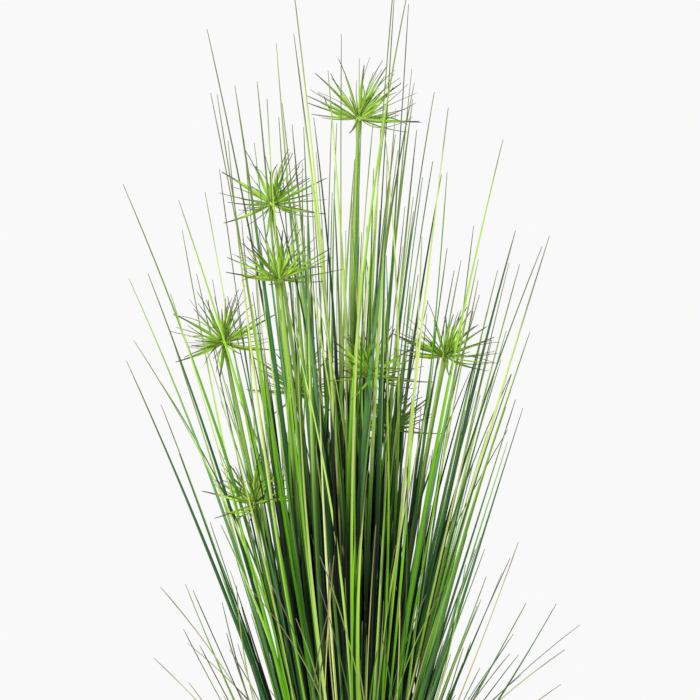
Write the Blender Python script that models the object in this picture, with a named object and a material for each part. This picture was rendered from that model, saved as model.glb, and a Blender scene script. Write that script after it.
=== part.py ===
"""Potted papyrus plant: slender stems with heads of rays, among tufts of grass in a plain round pot.

Every stem and tuft ends in a six-sided peg, and each peg stands in its own socket in the soil.
Units are metres, +Z is up, and the origin is the centre of the pot's underside. The front is -Y.
"""

import itertools
import math
from typing import NamedTuple

import bmesh
import bpy
import numpy as np
from mathutils import Matrix, Vector
from mathutils.bvhtree import BVHTree

CM = 0.01
MM = 0.001
GAP = 0.3 * MM

# The pot and what fills it
POT_HEIGHT = 13.0 * CM
POT_TOP_RADIUS = 8.3 * CM
POT_FOOT_RADIUS = 6.2 * CM
POT_WALL = 2.5 * MM
POT_BASE = 4.0 * MM
RIM_HEIGHT = 14.0 * MM
RIM_REACH = 3.0 * MM
RIM_ROUNDING = 1.2 * MM
SOIL_TOP = 11.5 * CM
SOIL_CROWN = 2.5 * MM
PLANTED_RADIUS = 5.6 * CM
AROUND = 40

# The pegs, which are alike for stems and tufts
PEG_SIDES = 6
PEG_RADIUS = 4.2 * MM
PEG_DEPTH = 24.0 * MM
PEG_STANDS_OUT = 10.0 * MM
SOCKET_RADIUS = PEG_RADIUS + GAP / math.cos(math.pi / PEG_SIDES) + 0.05 * MM
SOCKET_DEPTH = PEG_DEPTH + GAP
BLADE_START = SOIL_TOP + PEG_STANDS_OUT
FOOT_INSET = 0.35 * MM

# A blade's outline and route
BLADE_RINGS = (0.27, 0.55, 0.81)
BLADE_SWELL = (0.9, 1.0, 0.6)
KEEL = 0.34
ARCH = 1.25
TURN_CHANCE = 0.15
CLEARANCE = 0.5 * MM
SKIN_MM = 0.1

# The round outline that the tips fill: upright up to its shoulder, and domed above it
OUTLINE_RADIUS = 27.5 * CM
OUTLINE_SHOULDER = 85 * CM
OUTLINE_DOME = 36 * CM

# A head of rays
HUB_RADIUS = 4.2 * MM
HUB_FLAT = 0.62
STEM_RADIUS = 2.3 * MM
STEM_RINGS = (0.12, 0.3, 0.5, 0.7, 0.88, 1.0)
STEM_FOOT_SHARE = 0.6
RAYS_IN_A_HEAD = 17
RAY_WIDTH = 2.1 * MM
RAY_BEND = 0.14
STRAIGHT_TILT = 69
LEAST_TILT = 15
LOWEST_ROOT = -0.3
RAY_CROWDING = 0.8
RAY_REACHES = (0.88, 1.02)
RAY_FOOT = 0.9
GOLDEN_ANGLE = math.pi * (3 - math.sqrt(5))

SEED = 7

# Colour, roughness
POT_BLACK = ((0.030, 0.031, 0.033), 0.45)
SOIL_BROWN = ((0.060, 0.042, 0.028), 0.95)
STEM_GREEN = ((0.300, 0.480, 0.110), 0.42)
HEAD_GREEN = ((0.260, 0.520, 0.060), 0.45)
TONES = {
    "deep": ((0.075, 0.190, 0.070), 0.40),
    "lime": ((0.330, 0.600, 0.050), 0.40),
    "pale": ((0.560, 0.740, 0.220), 0.42),
    "straw": ((0.480, 0.430, 0.240), 0.55),
}


class Blade(NamedTuple):
    """One blade as seen from the front, in cm: its tip, a point on its lower half, and its width in mm."""

    tip_x: float
    tip_z: float
    waist_x: float
    waist_z: float
    width: float


class Tuft(NamedTuple):
    """Blades of one colour on one peg. back is how far they lean back, as a share of the outline's depth."""

    tone: str
    back: float
    blades: tuple
    spare: int = 1


class Head(NamedTuple):
    """A stem with its head of rays, in cm: the hub's place, the stem's at 30 cm up, and the rays' reach.

    The lean tips its axis sideways and back. The skirt is the lowest rays' angle from that axis, in degrees.
    """

    x: float
    depth: float
    z: float
    stem_x: float
    reach: float
    lean: tuple
    skirt: float


HEADS = (
    Head(1.0, 2.0, 98.1, -0.6, 7.5, (0.04, -0.10), 105),
    Head(-9.2, 1.0, 88.0, -2.9, 7.0, (-0.08, -0.30), 118),
    Head(-8.2, -8.0, 79.1, -3.4, 7.2, (-0.05, -0.05), 97),
    Head(-14.8, 4.5, 71.8, -6.4, 7.0, (-0.12, -0.35), 117),
    Head(2.6, -3.5, 68.0, 0.9, 7.0, (0.02, -0.20), 112),
    Head(11.1, -3.0, 70.2, 5.0, 6.6, (0.06, -0.12), 108),
    Head(-11.2, -2.0, 53.0, -7.2, 6.2, (-0.25, -0.30), 102),
    Head(4.8, 9.0, 61.6, 2.9, 6.2, (0.10, 0.20), 108),
    Head(-6.0, 13.0, 66.0, -2.8, 6.5, (-0.10, 0.30), 112),
)

TUFTS = (
    Tuft("deep", -0.45, (
        Blade(-26.1, 69.7, -17.6, 50, 5.0),
        Blade(-22.0, 64.6, -16.6, 50, 3.0),
        Blade(-25.2, 72.1, -13.2, 50, 3.0),
    ), 0),
    Tuft("deep", 0.35, (
        Blade(-25.9, 79.3, -14.2, 50, 4.5),
        Blade(-23.7, 79.9, -13.3, 50, 4.5),
        Blade(-20.9, 72.4, -13.9, 50, 3.5),
        Blade(-19.7, 85.0, -12.2, 50, 3.5),
    )),
    Tuft("deep", 0.75, (
        Blade(-17.3, 89.7, -9.8, 50, 3.2),
        Blade(-15.4, 92.4, -9.2, 50, 2.4),
        Blade(-16.3, 79.3, -10.9, 50, 3.0),
        Blade(-18.2, 80.0, -11.4, 50, 2.4),
    )),
    Tuft("deep", -0.3, (
        Blade(-13.5, 101.8, -6.3, 50, 7.0),
        Blade(-10.9, 102.2, -5.5, 50, 5.5),
        Blade(-13.4, 77.4, -8.9, 50, 4.0),
    )),
    Tuft("deep", 0.3, (
        Blade(-8.6, 107.0, -3.9, 50, 5.0),
        Blade(-8.0, 100.0, -3.1, 50, 2.6),
        Blade(-8.3, 98.4, -4.6, 50, 2.2),
        Blade(-5.6, 93.0, -4.1, 50, 5.0),
    )),
    Tuft("deep", -0.35, (
        Blade(-7.5, 91.0, -2.4, 50, 6.5),
        Blade(-5.0, 88.0, -4.2, 50, 5.5),
        Blade(-9.9, 93.9, -1.7, 50, 3.6),
    )),
    Tuft("deep", 0.55, (
        Blade(-2.2, 98.5, -2.4, 50, 2.6),
        Blade(-1.5, 97.8, -2.0, 50, 4.0),
        Blade(1.1, 105.4, 0.6, 50, 4.5),
        Blade(0.6, 93.5, -1.3, 50, 5.5),
    )),
    Tuft("deep", -0.45, (
        Blade(7.5, 102.0, 0.9, 50, 7.0),
        Blade(5.3, 99.0, 2.2, 50, 5.0),
        Blade(4.2, 93.0, 3.1, 50, 5.0),
    ), 0),
    Tuft("deep", 0.2, (
        Blade(5.3, 115.5, 1.2, 50, 3.2),
        Blade(5.2, 112.4, 1.8, 50, 2.6),
        Blade(7.3, 104.0, 2.8, 50, 4.0),
    )),
    Tuft("deep", 0.6, (
        Blade(10.0, 101.5, 3.5, 50, 3.2),
        Blade(8.6, 91.4, 3.7, 50, 2.2),
        Blade(9.8, 93.3, 4.1, 50, 3.0),
        Blade(10.8, 91.7, 4.5, 50, 5.0),
    )),
    Tuft("deep", -0.3, (
        Blade(15.0, 81.5, 8.6, 50, 6.0),
        Blade(13.0, 81.4, 7.3, 50, 4.5),
        Blade(11.3, 82.8, 6.8, 50, 3.0),
    )),
    Tuft("deep", 0.3, (
        Blade(19.5, 85.0, 10.7, 50, 6.5),
        Blade(18.7, 81.2, 11.5, 50, 2.6),
        Blade(19.9, 81.0, 11.9, 50, 3.6),
        Blade(14.6, 85.6, 9.7, 50, 2.6),
    )),
    Tuft("deep", -0.5, (
        Blade(20.8, 73.0, 13.6, 50, 6.0),
        Blade(20.1, 64.2, 15.7, 50, 4.2),
        Blade(18.7, 68.2, 12.9, 50, 3.0),
    ), 0),
    Tuft("deep", 0.8, (
        Blade(18.5, 73.2, 12.3, 50, 3.0),
        Blade(17.9, 69.8, 12.0, 50, 3.2),
        Blade(16.2, 75.4, 10.9, 50, 3.0),
    )),
    Tuft("lime", -0.6, (
        Blade(-26.5, 90.3, -11.9, 50, 6.0),
        Blade(-20.8, 77.4, -12.7, 50, 3.0),
        Blade(-17.0, 72.5, -10.9, 50, 3.5),
    ), 0),
    Tuft("lime", 0.0, (
        Blade(-16.7, 108.5, -5.9, 50, 5.0),
        Blade(-16.3, 101.0, -7.0, 50, 2.8),
        Blade(-12.4, 95.6, -7.6, 50, 3.0),
    ), 0),
    Tuft("lime", -0.6, (
        Blade(-15.4, 100.6, -7.4, 50, 5.0),
        Blade(-14.1, 95.2, -8.6, 50, 5.5),
        Blade(-10.9, 79.4, -8.0, 50, 4.5),
    ), 0),
    Tuft("lime", -0.6, (
        Blade(-6.9, 115.5, -1.1, 50, 5.5),
        Blade(-9.6, 100.0, -5.4, 50, 4.5),
        Blade(-4.9, 79.5, -3.5, 50, 4.5),
    )),
    Tuft("lime", -0.7, (
        Blade(7.0, 114.5, -0.3, 50, 6.5),
        Blade(2.7, 97.8, 0.2, 50, 4.5),
        Blade(1.6, 80.0, 0.4, 50, 4.5),
    ), 0),
    Tuft("lime", -0.25, (
        Blade(6.8, 111.3, 2.8, 50, 5.0),
        Blade(3.9, 97.2, 5.2, 50, 5.0),
        Blade(4.2, 82.0, 3.9, 50, 4.0),
    )),
    Tuft("lime", -0.6, (
        Blade(11.3, 99.0, 5.8, 50, 5.5),
        Blade(11.3, 91.5, 7.4, 50, 4.0),
        Blade(8.3, 84.0, 6.4, 50, 4.5),
    )),
    Tuft("lime", -0.45, (
        Blade(17.7, 95.4, 8.3, 50, 7.0),
        Blade(22.3, 83.0, 11.0, 50, 4.5),
        Blade(14.9, 79.0, 9.6, 50, 3.5),
        Blade(23.1, 84.2, 13.0, 50, 6.5),
        Blade(16.4, 72.0, 11.3, 50, 4.0),
    ), 0),
    Tuft("lime", -0.4, (
        Blade(2.0, 57.0, 0.9, 34, 7.0),
        Blade(1.2, 49.5, 0.5, 32, 5.5),
        Blade(4.4, 58.0, 3.2, 34, 5.0),
    ), 0),
    Tuft("pale", 0.0, (
        Blade(-6.5, 107.9, -0.9, 50, 6.0),
        Blade(-1.0, 107.9, -0.7, 50, 3.6),
        Blade(4.3, 98.6, 1.2, 50, 5.0),
    )),
    Tuft("pale", -0.75, (
        Blade(-9.5, 83.5, -1.8, 50, 3.6),
        Blade(-6.2, 74.5, -4.9, 50, 3.8),
        Blade(-3.6, 70.0, -2.9, 50, 3.6),
    ), 0),
    Tuft("straw", -0.2, (
        Blade(-22.1, 43.3, -12.4, 30, 2.6),
        Blade(-18.3, 43.0, -12.6, 30, 2.4),
        Blade(-22.9, 35.0, -13.4, 25, 2.6),
        Blade(-19.4, 38.4, -15.1, 30, 2.8),
        Blade(-18.8, 32.2, -12.2, 23, 2.4),
    ), 0),
    Tuft("straw", -0.6, (
        Blade(-14.3, 38.2, -11.7, 30, 2.8),
        Blade(-13.1, 43.7, -11.2, 30, 2.4),
        Blade(-17.4, 36.8, -14.0, 30, 2.6),
        Blade(-18.0, 30.5, -12.6, 22, 2.4),
    ), 0),
    Tuft("straw", -0.7, (
        Blade(-9.3, 44.3, -3.8, 30, 3.0),
        Blade(-11.5, 43.5, -3.2, 30, 2.6),
        Blade(-2.5, 40.6, -4.4, 30, 2.4),
        Blade(-1.8, 47.3, -3.0, 30, 2.6),
    ), 0),
    Tuft("straw", -0.75, (
        Blade(-3.7, 44.2, 0.0, 30, 3.0),
        Blade(-2.4, 46.5, -1.8, 30, 2.8),
        Blade(-3.5, 47.3, 1.4, 30, 2.4),
        Blade(3.8, 48.4, 3.0, 30, 2.6),
        Blade(3.0, 50.8, 1.9, 30, 2.4),
    ), 0),
    Tuft("straw", -0.6, (
        Blade(11.5, 44.5, 5.1, 30, 3.0),
        Blade(10.9, 42.6, 7.2, 30, 3.0),
        Blade(6.6, 57.5, 5.9, 30, 2.6),
        Blade(3.7, 38.0, 4.9, 30, 2.4),
    ), 0),
    Tuft("straw", -0.35, (
        Blade(19.6, 48.6, 12.6, 30, 2.8),
        Blade(18.6, 46.8, 11.4, 30, 2.8),
        Blade(15.2, 42.0, 10.5, 30, 2.6),
        Blade(13.4, 46.0, 10.1, 30, 2.4),
    ), 0),
    Tuft("straw", -0.3, (
        Blade(26.9, 38.9, 16.4, 30, 2.4),
        Blade(25.1, 36.0, 15.2, 28, 2.4),
        Blade(24.6, 31.9, 13.6, 23, 2.4),
        Blade(18.6, 35.6, 12.9, 28, 2.4),
        Blade(15.1, 34.0, 11.2, 26, 2.4),
    ), 0),
    Tuft("deep", 0.5, (
        Blade(-19.4, 43.3, -13.7, 30, 3.2),
        Blade(-16.5, 50.6, -9.9, 30, 2.6),
    )),
    Tuft("deep", 0.3, (
        Blade(24.2, 41.2, 17.4, 30, 3.4),
        Blade(20.7, 41.2, 14.5, 30, 2.8),
        Blade(19.2, 37.6, 13.0, 28, 2.4),
    ), 0),
)

# Tufts round the back, which follow a rule: their tone, the bearing of their tips from +X in degrees,
# and their reach and height in cm
BACK_TUFTS = (
    ("deep", 150, 19.0, 84.0),
    ("deep", 112, 15.0, 97.0),
    ("lime", 92, 17.5, 88.0),
    ("deep", 66, 16.0, 95.0),
    ("deep", 30, 18.5, 80.0),
    ("straw", 98, 22.0, 45.0),
)
BACK_BLADES = 4
BACK_TURN = 9.0
BACK_REACHES = (0.75, 1.05)
BACK_HEIGHTS = (0.86, 1.06)
BACK_WIDTHS = {"straw": (2.4, 2.8), "deep": (3.5, 6.0), "lime": (3.5, 6.0)}
BACK_WAISTS = {"straw": 0.62, "deep": 0.5, "lime": 0.5}
BACK_ARCH = (0.22, 0.6)

# How far from the middle plane the waist of a drawn blade stands, as a share of its tip's distance
WAIST_DEPTH = 0.45
LOW_WAIST_DEPTH = 0.55
LOW_WAIST = 40.0

# How far a spare blade strays from the two it stands between: tip and waist, in x and y
STRAY_TIP = (1.5 * CM, 3.0 * CM, 0)
STRAY_WAIST = (0.6 * CM, 1.2 * CM, 0)
TIP_DEPTH_CHANCE = 1.5
SPARE_BETWEEN = (0.25, 0.75)
SPARE_HEIGHT = 0.84
SPARE_LEAST_HEIGHT = 1.15
SPARE_WIDTH = 0.8

# How far a blade may be moved to stand clear, and in what steps: its tip in depth, and its waist in depth
# and sideways. A waist's shift counts for more than a tip's.
TIP_NUDGES = (7.0 * CM, 1.0 * CM, 1)
DEPTH_NUDGES = (3.0 * CM, 0.5 * CM, 2)
SIDE_NUDGES = (0.9 * CM, 0.3 * CM, 6)
SWING_STEPS = sorted(np.linspace(-0.5, 0.5, 21), key=abs)
SHORTENINGS = (1.0, 0.92, 0.84)
REST_WEIGHT = 0.1

# Where a peg would best stand: shares of the plant's sideways and depth shifts higher up
STEM_PLACE = (0.6, 0.3)
TUFT_PLACE = (0.7, 0.4)
DRAWN_AT = 30.0 * CM


def clear_scene():
    for thing in list(bpy.data.objects):
        bpy.data.objects.remove(thing)


def material(name, look):
    """A Principled material with this colour and roughness, made once."""
    if name in bpy.data.materials:
        return bpy.data.materials[name]
    colour, roughness = look
    made = bpy.data.materials.new(name)
    made.use_nodes = True
    shader = made.node_tree.nodes["Principled BSDF"]
    shader.inputs["Base Color"].default_value = (*colour, 1.0)
    shader.inputs["Roughness"].default_value = roughness
    shader.inputs["Metallic"].default_value = 0.0
    made.diffuse_color = (*colour, 1.0)
    return made


def keep(name, bm, look, look_name):
    """Turns a bmesh into a named object with its material."""
    bmesh.ops.recalc_face_normals(bm, faces=bm.faces)
    mesh = bpy.data.meshes.new(name)
    bm.to_mesh(mesh)
    bm.free()
    mesh.materials.append(material(look_name, look))
    thing = bpy.data.objects.new(name, mesh)
    bpy.context.scene.collection.objects.link(thing)
    return thing


def turned(profile):
    """A closed solid of revolution about Z, from (radius, height) points that start and end on the axis."""
    bm = bmesh.new()
    points = [bm.verts.new((radius, 0, height)) for radius, height in profile]
    edges = [bm.edges.new(pair) for pair in zip(points, points[1:])]
    bmesh.ops.spin(
        bm,
        geom=points + edges,
        cent=(0, 0, 0),
        axis=(0, 0, 1),
        angle=2 * math.pi,
        steps=AROUND,
        use_merge=True,
    )
    bmesh.ops.remove_doubles(bm, verts=bm.verts, dist=0.01 * MM)
    return bm


def pot_radius(height):
    """Outer radius of the pot's tapered wall."""
    share = height / POT_HEIGHT
    return POT_FOOT_RADIUS + (POT_TOP_RADIUS - RIM_REACH - POT_FOOT_RADIUS) * share


def make_pot():
    rim_foot = POT_HEIGHT - RIM_HEIGHT
    inside = pot_radius(POT_HEIGHT) - POT_WALL
    profile = (
        (0, 0),
        (POT_FOOT_RADIUS - RIM_ROUNDING, 0),
        (POT_FOOT_RADIUS, RIM_ROUNDING),
        (pot_radius(rim_foot), rim_foot),
        (pot_radius(rim_foot) + RIM_REACH, rim_foot + RIM_REACH / 2),
        (POT_TOP_RADIUS, POT_HEIGHT - RIM_ROUNDING),
        (POT_TOP_RADIUS - RIM_ROUNDING, POT_HEIGHT),
        (inside, POT_HEIGHT),
        (pot_radius(POT_BASE) - POT_WALL, POT_BASE),
        (0, POT_BASE),
    )
    pot = keep("pot", turned(profile), POT_BLACK, "pot")
    pot.data.shade_smooth()
    pot.data.set_sharp_from_angle(angle=math.radians(35))


def prism(bm, place, radius, low, high):
    """A closed six-sided prism, standing up."""
    height = high - low
    return bmesh.ops.create_cone(
        bm,
        cap_ends=True,
        segments=PEG_SIDES,
        radius1=radius,
        radius2=radius,
        depth=height,
        matrix=Matrix.Translation((place[0], place[1], low + height / 2)),
    )["verts"]


def make_soil(places):
    """The soil fits the pot's inside, with a socket for each peg."""
    slack = POT_WALL + GAP
    low, edge = POT_BASE + GAP, SOIL_TOP - SOIL_CROWN
    profile = (
        (0, low),
        (pot_radius(low) - slack, low),
        (pot_radius(edge) - slack, edge),
        (PLANTED_RADIUS + 2 * PEG_RADIUS, SOIL_TOP),
        (0, SOIL_TOP),
    )
    soil = keep("soil", turned(profile), SOIL_BROWN, "soil")
    bm = bmesh.new()
    for place in places:
        prism(bm, place, SOCKET_RADIUS, SOIL_TOP - SOCKET_DEPTH, SOIL_TOP + PEG_DEPTH)
    sockets = keep("socket_cutter", bm, SOIL_BROWN, "soil")
    sockets.hide_render = True
    sockets.display_type = "WIRE"
    cut = soil.modifiers.new("sockets", "BOOLEAN")
    cut.operation = "DIFFERENCE"
    cut.object = sockets


def sunflower(count):
    """count places, evenly spread over the planted disc."""
    number = np.arange(count)
    radius = PLANTED_RADIUS * np.sqrt((number + 0.5) / count)
    angle = number * GOLDEN_ANGLE
    return np.stack([radius * np.cos(angle), radius * np.sin(angle)], axis=1)


def places_for(wanted):
    """Gives each plant a place of the sunflower, so that together they stand near where they are wanted."""
    places = sunflower(len(wanted))
    cost = ((wanted[:, None] - places[None]) ** 2).sum(axis=2)
    order = np.arange(len(wanted))
    better = True
    while better:
        better = False
        for a, b in itertools.combinations(range(len(order)), 2):
            now = cost[a, order[a]] + cost[b, order[b]]
            if cost[a, order[b]] + cost[b, order[a]] < now - 1e-12:
                order[a], order[b] = order[b], order[a]
                better = True
    return places[order]


def segment_gaps(starts, ends, other_starts, other_ends):
    """Shortest distances between two lots of straight segments, as a table."""
    d1 = (ends - starts)[:, None]
    d2 = (other_ends - other_starts)[None]
    r = starts[:, None] - other_starts[None]
    a = (d1 * d1).sum(-1)
    e = (d2 * d2).sum(-1)
    b = (d1 * d2).sum(-1)
    c = (d1 * r).sum(-1)
    f = (d2 * r).sum(-1)
    square = np.maximum(a * e - b * b, 1e-18)
    s = np.clip((b * f - c * e) / square, 0, 1)
    t = np.clip((b * s + f) / e, 0, 1)
    s = np.clip((b * t - c) / a, 0, 1)
    apart = r + s[..., None] * d1 - t[..., None] * d2
    return np.sqrt((apart * apart).sum(-1))


class Thicket:
    """What stands already, as round bars, and how much room they leave."""

    def __init__(self):
        self.starts = np.zeros((0, 3))
        self.ends = np.zeros((0, 3))
        self.radii = np.zeros(0)
        self.peg = np.zeros(0, int)
        self.lowest = np.zeros(0, bool)

    def add(self, route, radius, peg):
        bars = len(route) - 1
        self.starts = np.concatenate([self.starts, route[:-1]])
        self.ends = np.concatenate([self.ends, route[1:]])
        self.radii = np.concatenate([self.radii, np.full(bars, radius)])
        self.peg = np.concatenate([self.peg, np.full(bars, peg)])
        self.lowest = np.concatenate([self.lowest, np.arange(bars) == 0])

    def room(self, route, radius, peg):
        """The least gap round a route. The lowest bars on one peg grow close together, and don't count."""
        if not len(self.radii):
            return math.inf
        gaps = segment_gaps(route[:-1], route[1:], self.starts, self.ends) - self.radii - radius
        gaps[0, (self.peg == peg) & self.lowest] = math.inf
        return gaps.min()


def through(foot, waist, tip, shares):
    """Points on the parabola in height through a blade's foot, waist and tip."""
    heights = foot[2] + (tip[2] - foot[2]) * np.asarray(shares)
    to_waist = (heights - foot[2]) * (heights - tip[2]) / ((waist[2] - foot[2]) * (waist[2] - tip[2]))
    to_tip = (heights - foot[2]) * (heights - waist[2]) / ((tip[2] - foot[2]) * (tip[2] - waist[2]))
    to_foot = 1 - to_waist - to_tip
    across = to_foot[:, None] * foot[:2] + to_waist[:, None] * waist[:2] + to_tip[:, None] * tip[:2]
    return np.column_stack([across, heights])


def waist_depth(foot_y, tip_y, waist_z, tip_z):
    """A blade leans back or forward more as it rises."""
    share = (waist_z - BLADE_START) / (tip_z - BLADE_START)
    return foot_y + (tip_y - foot_y) * share**ARCH


def peg_offsets():
    """Centres of the six thirds-of-a-hexagon faces on a peg's top, where blades grow."""
    middle = PEG_RADIUS * math.cos(math.pi / PEG_SIDES) * 2 / 3
    angles = np.arange(PEG_SIDES) * 2 * math.pi / PEG_SIDES
    return middle * np.stack([np.cos(angles), np.sin(angles)], axis=1)


def faces_for(rings):
    """Which face of the peg's top each blade grows from: the feet lie as the blades do higher up."""
    feet = peg_offsets()
    pairs = list(itertools.combinations(range(len(rings)), 2))

    def likeness(faces):
        found = []
        for a, b in pairs:
            above = rings[a] - rings[b]
            below = feet[faces[a]] - feet[faces[b]]
            found.append(above @ below / np.linalg.norm(above) / np.linalg.norm(below))
        return min(found) + REST_WEIGHT * sum(found)

    return max(itertools.permutations(range(PEG_SIDES), len(rings)), key=likeness)


def back_blades(tone, bearing, reach, height, chance):
    """Blades of a tuft at the back, spread round its bearing."""
    blades = []
    for k in range(BACK_BLADES):
        turn = math.radians(bearing + (k - (BACK_BLADES - 1) / 2) * BACK_TURN)
        out = reach * chance.uniform(*BACK_REACHES) * CM
        tall = height * chance.uniform(*BACK_HEIGHTS) * CM
        waist_z = tall * BACK_WAISTS[tone]
        share = (waist_z - BLADE_START) / (tall - BLADE_START)
        bearing_now = np.array([math.cos(turn), math.sin(turn)])
        tip = np.array([*(out * bearing_now), tall])
        waist = np.array([*(out * bearing_now * (BACK_ARCH[0] + BACK_ARCH[1] * share)), waist_z])
        blades.append((tip, waist, chance.uniform(*BACK_WIDTHS[tone]) * MM))
    return blades


def outline_depth(x, z):
    """How far the round outline reaches behind the middle, at this place seen from the front, in cm."""
    rise = max(z * CM - OUTLINE_SHOULDER, 0) / OUTLINE_DOME
    radius = OUTLINE_RADIUS * math.sqrt(max(1 - rise**2, 0)) / CM
    return math.sqrt(max(radius**2 - x**2, 0))


def drawn_blades(tuft, chance):
    """A drawn tuft's blades as (tip, waist, width), with its spare ones between them."""
    blades = []
    for blade in tuft.blades:
        depth = tuft.back * outline_depth(blade.tip_x, blade.tip_z)
        depth += chance.uniform(-TIP_DEPTH_CHANCE, TIP_DEPTH_CHANCE)
        waist_y = depth * (WAIST_DEPTH if blade.waist_z > LOW_WAIST else LOW_WAIST_DEPTH)
        tip = np.array([blade.tip_x, depth, blade.tip_z]) * CM
        waist = np.array([blade.waist_x, waist_y, blade.waist_z]) * CM
        blades.append((tip, waist, blade.width * MM))
    for _ in range(tuft.spare):
        first, second = (blades[i] for i in chance.choice(len(blades), 2, False))
        share = chance.uniform(*SPARE_BETWEEN)
        tip = first[0] + share * (second[0] - first[0]) + chance.uniform(-1, 1, 3) * STRAY_TIP
        waist = first[1] + share * (second[1] - first[1]) + chance.uniform(-1, 1, 3) * STRAY_WAIST
        tip[2] = max(SPARE_HEIGHT * min(first[0][2], second[0][2]), SPARE_LEAST_HEIGHT * waist[2])
        blades.append((tip, waist, SPARE_WIDTH * first[2]))
    return blades


def nudges():
    """Shifts of a blade's tip in depth, and of its waist in depth and sideways, the least first."""
    every = [
        np.arange(-most, most + step / 2, step) for most, step, _ in (TIP_NUDGES, DEPTH_NUDGES, SIDE_NUDGES)
    ]
    weights = np.array([TIP_NUDGES[2], DEPTH_NUDGES[2], SIDE_NUDGES[2]])
    return sorted(itertools.product(*every), key=lambda shift: weights @ np.abs(shift))


NUDGES = nudges()
SWINGS = list(itertools.product(SWING_STEPS, SHORTENINGS))


def ring(centre, along, side, width):
    """A blade's flat three-cornered section: two edges and a keel, in order about the way it grows."""
    along = Vector(along).normalized()
    side = (side - along * side.dot(along)).normalized()
    back = along.cross(side)
    centre = Vector(centre) - back * width * KEEL / 3
    return [centre - side * width / 2, centre + side * width / 2, centre + back * width * KEEL]


def nearest_edge(corners, wish):
    """The direction of the edge that runs most nearly along a wish: what grows along it hardly twists."""
    edges = [(b - a).normalized() for a, b in zip(corners, corners[1:] + corners[:1])]
    return max(edges, key=lambda edge: edge.dot(wish))


def matched(corners, onto):
    """A ring's corners, in the turn that twists least from the corners they join."""
    turns = [corners[k:] + corners[:k] for k in range(3)]
    return min(turns, key=lambda turn: sum((a - b).length for a, b in zip(onto, turn)))


def corners_of(face):
    return [loop.vert.co.copy() for loop in face.loops]


def sleeve(low, high):
    """The sides of a bar between two rings, in mm, split along both diagonals, to find crossings with."""
    faces = []
    for a, b in ((0, 1), (1, 2), (2, 0)):
        faces += [(a, b, b + 3), (a, b + 3, a + 3), (a, b, a + 3), (b, b + 3, a + 3)]
    corners = [corner / MM for corner in (*low, *high)]
    return BVHTree.FromPolygons(corners, faces, epsilon=SKIN_MM)


def crosses(bar, others):
    return any(bar.overlap(other) for other in others)


def extrude_to(bm, face, corners):
    """Extrudes a three-sided face and sets its corners."""
    target = matched(corners, corners_of(face))
    new = bmesh.ops.extrude_discrete_faces(bm, faces=[face])["faces"][0]
    for loop, corner in zip(new.loops, target):
        loop.vert.co = corner
    return new


def end_at(bm, face, tip):
    """Closes an extruded blade or ray at its tip."""
    new = bmesh.ops.poke(bm, faces=[face])["verts"][0]
    new.co = tip


def grow_solid(bm, face, route, widths, side):
    """Extrudes a face along a route's rings, and ends it in a point."""
    for k in range(1, len(route) - 1):
        along = route[k + 1] - route[k - 1]
        face = extrude_to(bm, face, ring(route[k], along, side, widths[k - 1]))
    end_at(bm, face, Vector(route[-1]))


def peg_solid(place):
    """A peg standing in its socket, and the six faces of its top in order round it."""
    bm = bmesh.new()
    prism(bm, place, PEG_RADIUS, SOIL_TOP - PEG_DEPTH, BLADE_START)
    bmesh.ops.recalc_face_normals(bm, faces=bm.faces)
    bm.faces.ensure_lookup_table()
    top = max(bm.faces, key=lambda face: face.calc_center_median().z)
    faces = bmesh.ops.poke(bm, faces=[top])["faces"]
    return bm, faces


def top_face_at(faces, place, offset):
    """The top face whose centre is nearest to a blade's foot."""
    want = Vector((place[0] + offset[0], place[1] + offset[1], BLADE_START))
    return min(faces, key=lambda face: (face.calc_center_median() - want).length)


def inset_corners(face):
    """Where the corners of a three-sided face lie once it is inset."""
    middle = face.calc_center_median()
    inner_radius = 2 * face.calc_area() / face.calc_perimeter()
    return [middle.lerp(corner, 1 - FOOT_INSET / inner_radius) for corner in corners_of(face)]


def find_route(blade, faces, widths, turn, peg, thicket, bars):
    """The first face and route on which a blade stands clear, with the way it faces and its lowest bar."""
    tip, waist, width = blade
    shares = (0.0, *BLADE_RINGS, 1.0)
    for face in faces:
        below = inset_corners(face)
        side = turn @ nearest_edge(below, Vector((1, 0, 0)))
        foot = np.array(face.calc_center_median())
        for tip_shift, waist_shift, side_shift in NUDGES:
            route = through(foot, waist + (side_shift, waist_shift, 0), tip + (0, tip_shift, 0), shares)
            if thicket.room(route, width / 2, peg) < CLEARANCE:
                continue
            bar = sleeve(below, matched(ring(route[1], route[2] - route[0], side, widths[0]), below))
            if not crosses(bar, bars):
                return face, route, side, bar
    raise ValueError(f"no room for a blade whose tip is at {tip}")


def make_tuft(name, tone, peg, place, blades, thicket, chance):
    """A peg with its blades, each leaned a little forward, back or aside until it stands clear."""
    centre = np.array([*place, BLADE_START])
    first_rings = [through(centre, waist, tip, (BLADE_RINGS[0],))[0, :2] for tip, waist, _ in blades]
    bm, tops = peg_solid(place)
    feet = peg_offsets()[list(faces_for(first_rings))]
    wanted = [top_face_at(tops, place, foot) for foot in feet]
    bars = []
    for number, blade in enumerate(blades):
        turn = Matrix.Rotation(chance.uniform(-TURN_CHANCE, TURN_CHANCE), 3, "Z")
        widths = [blade[2] * swell for swell in BLADE_SWELL]
        faces = [wanted[number]] + [face for face in tops if face not in wanted]
        face, route, side, bar = find_route(blade, faces, widths, turn, peg, thicket, bars)
        wanted[number] = face
        bars.append(bar)
        thicket.add(route, blade[2] / 2, peg)
        bmesh.ops.inset_individual(bm, faces=[face], thickness=FOOT_INSET, use_even_offset=True)
        grow_solid(bm, face, route, widths, side)
    keep(name, bm, TONES[tone], f"{tone}_blade")


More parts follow.
